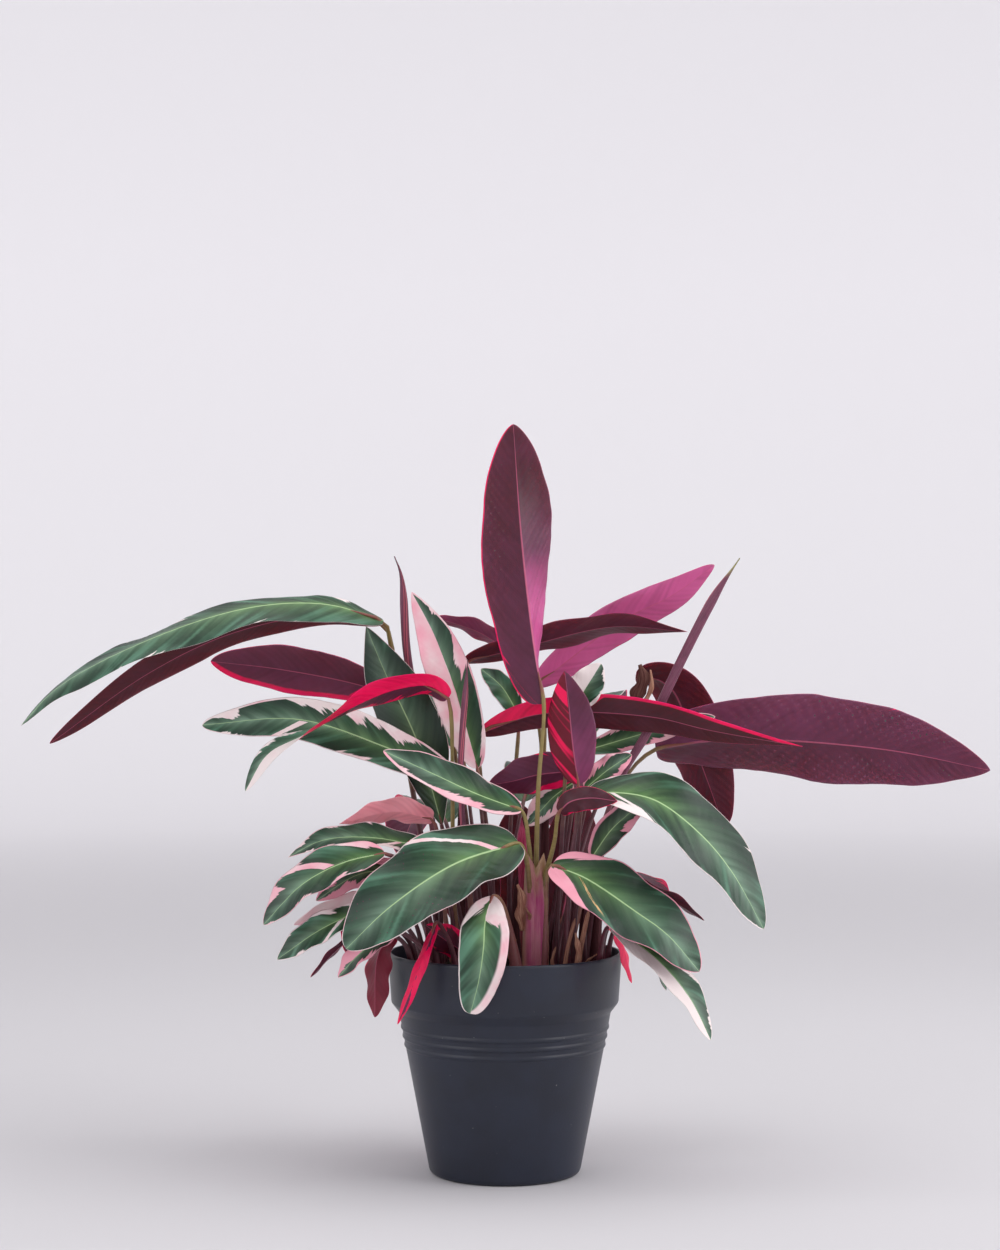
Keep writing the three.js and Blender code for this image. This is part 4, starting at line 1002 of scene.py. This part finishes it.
for name, radius, swell, number, path in SPEARS:
    line, _ = smooth_line(path, SPEAR_POINTS)
    girths = []
    for k in range(SPEAR_POINTS):
        share = k / (SPEAR_POINTS - 1)
        body = SPEAR_FOOT + (radius - SPEAR_FOOT) * soft_step(share, swell - 0.2, swell)
        girths.append(body * (1 - POINT_THINNING * soft_step(share, POINT_AT, 1.0)) * MM)
    spear = grow("rolled_leaf_" + name, line_mesh(name, [(line, {"girth": girths})]), SPEAR_TREE,
                 {"Number": number, "Overlap": 0.2, "Sides": 40})
    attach(spear, "root")
    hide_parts("spear_" + name)
print(len(SPEARS), "rolled leaves")

# %% [markdown]
# ## Skins made of rings
# The sheath, the scraps, the pot and the soil are all skins laid over rings of points, so one
# function closes them. It can also store on every point how far round and how far up it is.

# %% Skins
def around(radius, sides):
    """Points of a circle as x, y."""
    turns = [2 * math.pi * j / sides for j in range(sides)]
    return [(radius * math.cos(turn), radius * math.sin(turn)) for turn in turns]


def turned(profile, sides):
    return [[(x, y, z) for x, y in around(r, sides)] for r, z in profile]


def ring_faces(count, sides, first=0):
    """The quads between rings, where two corners go to the next ring."""
    corners = [(first + i * sides + j, first + i * sides + (j + 1) % sides)
               for i in range(count - 1) for j in range(sides)]
    return [(a, b, b + sides, a + sides) for a, b in corners]


def skin_object(name, points, faces, material):
    mesh = bpy.data.meshes.new(name)
    mesh.from_pydata(points, [], faces)
    mesh.shade_smooth()
    mesh.materials.append(material)
    thing = bpy.data.objects.new(name, mesh)
    bpy.context.scene.collection.objects.link(thing)
    return thing


def closed_skin(name, rings, material, wrap=None):
    """Rings of points joined into a closed smooth skin, each end closed by a fan. With a wrap
    number, the share round, the share up and that number are stored on the points."""
    sides = len(rings[0])
    points = [point for ring in rings for point in ring]
    faces = ring_faces(len(rings), sides)
    for first, flip in ((0, True), ((len(rings) - 1) * sides, False)):
        middle = sum((Vector(points[first + j]) for j in range(sides)), Vector()) / sides
        points.append(tuple(middle))
        for j in range(sides):
            a, b = first + j, first + (j + 1) % sides
            faces.append((b, a, len(points) - 1) if flip else (a, b, len(points) - 1))
    thing = skin_object(name, [Vector(point) * MM for point in points], faces, material)
    if wrap is not None:
        layer = thing.data.attributes.new("wrap", "FLOAT_VECTOR", "POINT")
        for k, item in enumerate(layer.data):
            ring, place = divmod(min(k, len(rings) * sides - 1), sides)
            item.vector = (place / sides, ring / (len(rings) - 1), wrap)
    return thing


print("skins ready")

# %% [markdown]
# ## The sheath
# The foot of each stalk is a flattened sheath that clasps the one inside it. The middle bundle
# holds four stalks. Its skin is lofted through the five measured sections; creases run up it where
# one sheath overlaps the next, and they open as the stalks part at the top.

# %% Sheath material
def sheath_skin(tree):
    turn, height, _ = attribute(tree, "wrap").parts()
    fibres = noise(vector(turn * 9.0, height * 2.0, 0.0), detail=3.0)
    lines = noise(vector(turn * 60.0, height * 1.5, 5.0), detail=1.0)
    colour = blend(fibres.step(0.35, 0.65), tint(196, 70, 132), tint(222, 140, 158))
    colour = blend(lines.step(0.55, 0.75) * 0.5, colour, tint(216, 150, 150))
    flank = (turn - 0.75 + (fibres - 0.5) * 0.15).size().step(0.09, 0.17)
    colour = blend(flank * 0.8, colour, tint(168, 128, 88))
    top = (height + fibres * 0.4).step(0.85, 1.3)
    return blend(top * 0.6, colour, tint(150, 122, 78)), lines


SHEATH = skin("leaf sheath", sheath_skin, 0.0004, 0.4, coat=0.2)
print("material:", SHEATH.name)

# %% Sheath
SHEATH_RINGS = 61
SHEATH_SIDES = 72
# Each section's middle, height, half-width and half-depth.
SECTIONS = [(22, -24, 122, 9.5, 8), (22, -24, 165, 9.5, 8), (22, -25, 200, 9, 8),
            (22, -27, 224, 8, 7), (22, -28, 234, 6, 5)]
FOOT, TOP = SECTIONS[0][2], SECTIONS[-1][2]
OPENS_AT = 170
# Where round the sheath each crease starts, in radians, and how deep it is.
CREASES = [(-2.0, 0.10), (-1.1, 0.07), (-0.35, 0.06), (1.4, 0.08), (2.6, 0.06)]


def between_sections(z):
    for low, high in zip(SECTIONS, SECTIONS[1:]):
        if z <= high[2]:
            share = (z - low[2]) / (high[2] - low[2])
            return [a + (b - a) * share for a, b in zip(low, high)]
    return SECTIONS[-1]


def sheath_ring(z):
    x, y, z, wide, deep = between_sections(z)
    open_share = soft_step(z, OPENS_AT, TOP)
    ring = []
    for j in range(SHEATH_SIDES):
        angle = 2 * math.pi * j / SHEATH_SIDES
        crease = 0.0
        for start, depth in CREASES:
            line = start + 0.5 * (z - FOOT) / (TOP - FOOT)
            gap = (angle - line + math.pi) % (2 * math.pi) - math.pi
            crease += depth * (0.6 + 1.6 * open_share) * math.exp(-(gap / 0.14) ** 2)
        dip = 22 * open_share ** 2 * (0.5 - 0.5 * math.cos(2 * angle)) + 5 * open_share * crease
        ring.append((x + wide * (1 - crease) * math.cos(angle),
                     y + deep * (1 - crease) * math.sin(angle), z - dip))
    return ring


heights = [FOOT + (TOP - FOOT) * k / (SHEATH_RINGS - 1) for k in range(SHEATH_RINGS)]
sheath = closed_skin("sheath_bundle", [sheath_ring(z) for z in heights], SHEATH, wrap=0.0)
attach(sheath, "root")
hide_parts("sheath_main")
print("sheath", len(sheath.data.polygons), "faces")

# %% [markdown]
# Old sheaths dry out and peel, and stalks whose leaf is gone stay as stubs. Each scrap is a
# narrow papery strip, curled across and twisted along, whose foot is sunk into what it peels
# from. A stub is a thin uneven tube that stands in the soil.

# %% Dry material
def scrap_skin(tree):
    turn, height, dark = attribute(tree, "wrap").parts()
    fibres = noise(vector(turn * 30.0, height * 3.0, 2.0), detail=3.0)
    colour = blend(fibres.step(0.3, 0.7), tint(138, 80, 66), tint(216, 168, 142))
    # Dark pieces are blended towards near black: partly their own dark red and partly painted
    # shade deep in the clump.
    return blend(dark, colour, blend(fibres, tint(34, 14, 20), tint(92, 44, 48))), fibres


DRY = skin("dry sheath", scrap_skin, 0.0004, 0.75, specular=0.2)
print("material:", DRY.name)

# %% Dry scraps and stubs
SCRAP_STEPS = 24
SCRAP_HALF = 0.15
SCRAP_CURL = 1.3
STUB_SIDES = 20
# The line, the width, the twist in radians and how dark it is; the darkness is partly painted
# shade, deepest for pieces far inside the clump.
SCRAPS = [
    ([(13, -27, 178), (11, -32, 191), (12, -33, 203), (9, -36, 212)], 7, 0.5, 0.0),
    ([(15, -27, 182), (17, -33, 189), (14, -37, 196)], 4, -1.0, 0.0),
    ([(8, -40, 150), (5, -44, 163), (8, -46, 174)], 5, 1.0, 0.2),
    ([(48, -38, 150), (52, -42, 162), (50, -40, 178)], 5, -0.8, 0.1),
    ([(55, -34, 150), (60, -39, 158), (66, -41, 163)], 4, 1.4, 0.0),
    ([(38, -42, 150), (34, -47, 158), (36, -48, 169)], 3.5, 1.2, 0.2),
    ([(98, 94, 331), (102, 90, 344), (106, 88, 357), (103, 87, 367)], 12, 0.6, 0.85),
    ([(99, 93, 329), (108, 90, 341), (112, 88, 352), (111, 88, 363)], 4, 0.4, 0.0),
]
# The line, the radius and how dark it is; the stubs behind the sheath are darkest, partly as
# painted shade.
STUBS = [
    ([(8, 30, 140), (8, 34, 175), (11, 36, 214)], 4.2, 1.0),
    ([(59, 24, 140), (59, 28, 172), (62, 30, 204)], 4.6, 1.0),
    ([(67, 14, 140), (67, 19, 168), (69, 24, 196)], 4.2, 1.0),
    ([(30, 32, 140), (29, 34, 200), (30, 36, 264)], 3.6, 1.0),
    ([(-34, 30, 140), (-33, 34, 215), (-31, 36, 272)], 3.8, 1.0),
    ([(50, -36, 140), (54, -34, 166), (60, -31, 194)], 1.9, 0.15),
    ([(41, -40, 140), (44, -39, 164), (50, -36, 188)], 1.6, 0.3),
]


def scrap_rings(number, path, width, twist):
    line, _ = smooth_line(path, SCRAP_STEPS + 1)
    rings = []
    for k, point in enumerate(line):
        share = k / SCRAP_STEPS
        ahead = (line[min(k + 1, SCRAP_STEPS)] - line[max(k - 1, 0)]).normalized()
        side = ahead.cross(Vector((0, -1, 0.2))).normalized()
        turn = twist * share + 0.35 * math.sin(number + 5 * share)
        side = (side * math.cos(turn) + ahead.cross(side) * math.sin(turn)).normalized()
        out = side.cross(ahead)
        half = width / 2 * (0.25 + 0.75 * math.sin(math.pi * (0.12 + 0.86 * share)))
        half *= 1 + 0.18 * math.sin(number * 2 + 17 * share)
        ring = []
        for rise, places in ((SCRAP_HALF, range(-6, 7)), (-SCRAP_HALF, range(6, -7, -1))):
            for j in places:
                arc = j / 6 * SCRAP_CURL
                rim = 1 - (j / 6) ** 6 * 0.6
                ring.append(tuple(point + side * (half * math.sin(arc))
                                  + out * (half * 0.6 * (math.cos(arc) - 1) + rise * rim)))
        rings.append(ring)
    return rings


def stub_rings(number, path, radius):
    rings = []
    for k, point in enumerate(smooth_line(path, SCRAP_STEPS + 1)[0]):
        share = k / SCRAP_STEPS
        taper = radius * (1.15 - 0.35 * share) * min(1.0, (1 - share) * 9 + 0.2)
        rings.append([(point.x + x, point.y + y * (1 + 0.12 * math.sin(3 * j + number)), point.z)
                      for j, (x, y) in enumerate(around(taper, STUB_SIDES))])
    return rings


for kind, make_rings, rows in (("dry_scrap", scrap_rings, SCRAPS),
                               ("old_stalk", stub_rings, STUBS)):
    for number, (*row, dark) in enumerate(rows, 1):
        piece = closed_skin(f"{kind}_{number}", make_rings(number, *row), DRY, wrap=dark)
        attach(piece, "root")
print(len(SCRAPS), "dry scraps,", len(STUBS), "stubs of old stalks")

# %% [markdown]
# ## The nursery pot
# A thin injection-moulded pot is one turned profile: a tapering wall with three raised rings, a
# step out to a deep collar, and a rounded lip. Drain holes go through its floor.

# %% Pot plastic
def own_place(tree):
    return add_node(tree, "ShaderNodeTexCoord").beside("Object")


def pot_plastic(tree):
    spot = own_place(tree)
    haze = noise(spot, 28.0, 4.0, 0.6)
    grain = noise(spot, 900.0)
    dust = noise(spot, 420.0, 1.0).step(0.80, 0.83)
    colour = blend(haze.step(0.3, 0.7), tint(17, 23, 39), tint(23, 30, 48))
    return blend(dust * 0.5, colour, tint(150, 148, 146)), grain, 0.34 + haze * 0.14


PLASTIC = skin("pot plastic", pot_plastic, 0.00006, 0.38, coat=0.05, coat_roughness=0.25)
print("material:", PLASTIC.name)

# %% Pot
POT_SIDES = 144
WALL = 1.8
FLOOR = 2.5
DRAINS, DRAIN_RADIUS, DRAIN_CIRCLE = 6, 5, 36
RING_HEIGHTS = (93, 99.5, 106)
RING_PROUD = 0.8
BASE_RADIUS, SHOULDER_RADIUS, SHOULDER = 54.5, 77, 117


def wall_radius(z):
    return BASE_RADIUS + (SHOULDER_RADIUS - BASE_RADIUS) * z / SHOULDER


def rounded(corners, steps=5):
    """Round each corner of a profile given as (radius, height, rounding)."""
    line = []
    for k, (r, z, size) in enumerate(corners):
        if size == 0 or k in (0, len(corners) - 1):
            line.append((r, z))
            continue
        here = Vector((r, z))
        back = Vector(corners[k - 1][:2]) - here
        ahead = Vector(corners[k + 1][:2]) - here
        start = here + back.normalized() * min(size, back.length * 0.45)
        stop = here + ahead.normalized() * min(size, ahead.length * 0.45)
        for j in range(steps + 1):
            share = j / steps
            line.append(tuple(start.lerp(here, share).lerp(here.lerp(stop, share), share)))
    return line


def pot_profile():
    corners = [(8, 0.6, 0), (44, 0.6, 0.6), (47, 0, 0.6), (52.5, 0, 2), (wall_radius(2.2), 2.2, 2)]
    for z in RING_HEIGHTS:
        proud = wall_radius(z) + RING_PROUD
        corners += [(wall_radius(z - 1.9), z - 1.9, 0.5), (proud, z - 0.6, 0.7),
                    (proud, z + 0.6, 0.7), (wall_radius(z + 1.9), z + 1.9, 0.5)]
    corners += [(SHOULDER_RADIUS, SHOULDER, 1.2), (82.5, 124, 1.2), (84.7, 156, 2),
                (85, 158.6, 1.2), (84.2, 160, 0.7), (82.6, 160, 0.6), (80.7, 126, 1.5),
                (75.2, 115, 1.5),
                (wall_radius(4) - WALL, 4, 2), (wall_radius(FLOOR) - WALL - 2, FLOOR, 1),
                (8, FLOOR, 0)]
    return rounded(corners)


def cut_drains(pot):
    """Drain holes, cut with cylinders that are left out of the finished piece."""
    for x, y in around(DRAIN_CIRCLE * MM, DRAINS):
        bpy.ops.mesh.primitive_cylinder_add(vertices=32, radius=DRAIN_RADIUS * MM, depth=0.02,
                                            location=(x, y, 0))
        drill = bpy.context.object
        cut = pot.modifiers.new("drain", "BOOLEAN")
        cut.operation = "DIFFERENCE"
        cut.solver = "EXACT"
        cut.object = drill
        graph = bpy.context.evaluated_depsgraph_get()
        mesh = bpy.data.meshes.new_from_object(pot.evaluated_get(graph), depsgraph=graph)
        pot.modifiers.clear()
        pot.data = mesh
        bpy.data.objects.remove(drill)


pot = closed_skin("nursery_pot", turned(pot_profile(), POT_SIDES), PLASTIC)
cut_drains(pot)
pot.data.materials.clear()
pot.data.materials.append(PLASTIC)
pot.data.shade_smooth()
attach(pot, "root")
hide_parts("pot")
print("pot", len(pot.data.polygons), "faces")

# %% [markdown]
# ## The soil
# Potting soil is crumbs with bits of bark and root in it. The body is a turned shape whose top is
# made uneven; crumbs are scattered over the top by a geometry node tree, so that they can be made
# denser or coarser with one number.

# %% Soil material
def soil_skin(tree):
    spot = own_place(tree)
    clumps = noise(spot, 160.0, 4.0, 0.7)
    bits = noise(spot, 420.0).step(0.66, 0.72)
    # The soil's own dark brown is made darker still, as painted shade under the leaves.
    colour = blend(clumps.step(0.35, 0.7), tint(17, 13, 12), tint(38, 29, 24))
    return blend(bits * 0.6, colour, tint(84, 62, 44)), clumps


SOIL = skin("potting soil", soil_skin, 0.002, 0.95, specular=0.2)
print("material:", SOIL.name)

# %% Soil
SOIL_SIDES = 96
SOIL_RINGS = 24
SOIL_RADIUS = 81.6
SOIL_EDGE = 147
CRUMBS_ABOVE, CRUMBS_WITHIN = 0.1465, 0.077


def crumb_tree():
    tree, get = new_tree("soil crumbs", {"Density": "Float", "Crumb size": "Float", "Seed": "Int"})
    x, y, z = position(tree).parts()
    top = z.above(CRUMBS_ABOVE) * (1.0 - ((x * x + y * y) ** 0.5).above(CRUMBS_WITHIN))
    spread = add_node(tree, "GeometryNodeDistributePointsOnFaces", Mesh=get["Geometry"],
                      Selection=top, Density=get["Density"], Seed=get["Seed"])
    crumb = add_node(tree, "GeometryNodeMeshIcoSphere", Radius=get["Crumb size"], Subdivisions=2)
    size, spin = (add_node(tree, "FunctionNodeRandomValue", {"data_type": "FLOAT_VECTOR"},
                           Min=low, Max=high, Seed=get["Seed"])
                  for low, high in (((0.4, 0.3, 0.25), (1.5, 0.9, 0.7)),
                                    ((0.0, 0.0, 0.0), (0.6, 0.6, 6.28))))
    placed = add_node(tree, "GeometryNodeInstanceOnPoints", Points=spread, Instance=crumb,
                      Rotation=spin, Scale=size)
    return end_tree(join(placed, get["Geometry"]), (SOIL,))


def uneven(x, y, radius):
    """How far the soil rises or falls at a place."""
    bump = 0.5 * math.sin(x * 0.31 + 1.3) * math.cos(y * 0.27)
    bump += 0.35 * math.sin(x * 0.83 + y * 0.7)
    return bump * min(1.0, (81 - radius) / 20)


def soil_rings():
    rings = turned([(20, 2.85), (52.5, 2.85), (74.8, 115.1), (80.3, 126.1),
                    (SOIL_RADIUS, SOIL_EDGE)], SOIL_SIDES)
    for k in range(1, SOIL_RINGS):
        share = k / SOIL_RINGS
        radius = SOIL_RADIUS * (1 - share)
        rings.append([(x, y, SOIL_EDGE + 2.6 * share ** 0.7 + uneven(x, y, radius))
                      for x, y in around(radius, SOIL_SIDES)])
    return rings


bed = closed_skin("potting_soil_bed", soil_rings(), SOIL)
bed_mesh = bed.data
bpy.data.objects.remove(bed)
soil = grow("potting_soil", bed_mesh, crumb_tree(),
            {"Density": 42000.0, "Crumb size": 0.0016, "Seed": 7})
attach(soil, "root")
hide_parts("soil")
print("soil", len(soil.data.polygons), "faces")

# %% [markdown]
# ## Floor, camera and light
# The plant stands on a plain pale floor that curves up into a wall all round, so that it can be
# looked at from every side. Three big soft panels and the pale wall light it evenly, as a bright
# room with curtains does.

# %% Backdrop
FLAT_RADIUS = 3.2
WALL_RADIUS = 4.4
WALL_TOP = 5.0
BEND_STEPS = 12
STAGE_SIDES = 96


def stage_material():
    """Pale paper. Away from the plant it glows a little, as a lit wall does."""
    material, shader = new_material("pale paper", 0.8, specular=0.2)
    x, y, _ = own_place(material.node_tree).parts()
    far = ((x * x + y * y) ** 0.5).step(1.0, WALL_RADIUS)
    glow = blend(far, (0.0, 0.0, 0.0, 1.0), tint(250, 248, 252))
    for label, value in {"Base Color": tint(205, 203, 206), "Emission Strength": 0.38,
                         "Emission Color": glow}.items():
        feed(shader.inputs[label], value)
    return material


def backdrop():
    """A round floor whose rim curves up into a wall, open at the top."""
    bend = WALL_RADIUS - FLAT_RADIUS
    profile = [(0.6, 0.0), (1.2, 0.0), (2.2, 0.0), (FLAT_RADIUS, 0.0)]
    for k in range(1, BEND_STEPS + 1):
        turn = math.pi / 2 * k / BEND_STEPS
        profile.append((FLAT_RADIUS + bend * math.sin(turn), bend - bend * math.cos(turn)))
    profile.append((WALL_RADIUS, WALL_TOP))
    points = [(0.0, 0.0, 0.0)] + [spot for ring in turned(profile, STAGE_SIDES) for spot in ring]
    faces = [(0, 1 + j, 1 + (j + 1) % STAGE_SIDES) for j in range(STAGE_SIDES)]
    faces += [(a, d, c, b) for a, b, c, d in ring_faces(len(profile), STAGE_SIDES, first=1)]
    skin_object("backdrop", points, faces, stage_material())


backdrop()
print("floor and wall, flat to", FLAT_RADIUS, "m")

# %% Light
def panel(name, place, aim, size, power):
    light = bpy.data.lights.new(name, "AREA")
    light.shape = "RECTANGLE"
    light.size, light.size_y = size
    light.energy = power
    thing = bpy.data.objects.new(name, light)
    thing.location = place
    thing.rotation_euler = (Vector(aim) - Vector(place)).to_track_quat("-Z", "Y").to_euler()
    thing.visible_camera = False
    bpy.context.scene.collection.objects.link(thing)


panel("window side", (2.2, -0.7, 1.5), (0, 0, 0.3), (2.0, 2.2), 43)
panel("room side", (-2.1, -1.4, 1.5), (0, 0, 0.3), (2.2, 2.2), 19)
panel("top", (0.0, 0.2, 2.4), (0, 0, 0.2), (2.4, 1.8), 27)

world = bpy.data.worlds.new("pale room")
world.use_nodes = True
background = world.node_tree.nodes["Background"].inputs
background["Color"].default_value = (0.92, 0.93, 0.95, 1.0)
background["Strength"].default_value = 0.2
bpy.context.scene.world = world

print("three panels and a pale room")

# %% Camera
camera_data = bpy.data.cameras.new("camera")
camera_data.lens = 74.88
camera_data.sensor_width = 36.0
camera = bpy.data.objects.new("camera", camera_data)
camera.location = (-0.0036, -1.890, 0.397)
camera.rotation_euler = (math.pi / 2, 0.0, 0.0)
bpy.context.scene.collection.objects.link(camera)
bpy.context.scene.camera = camera
bpy.context.scene.view_settings.view_transform = "Standard"
print("camera at", tuple(camera.location))
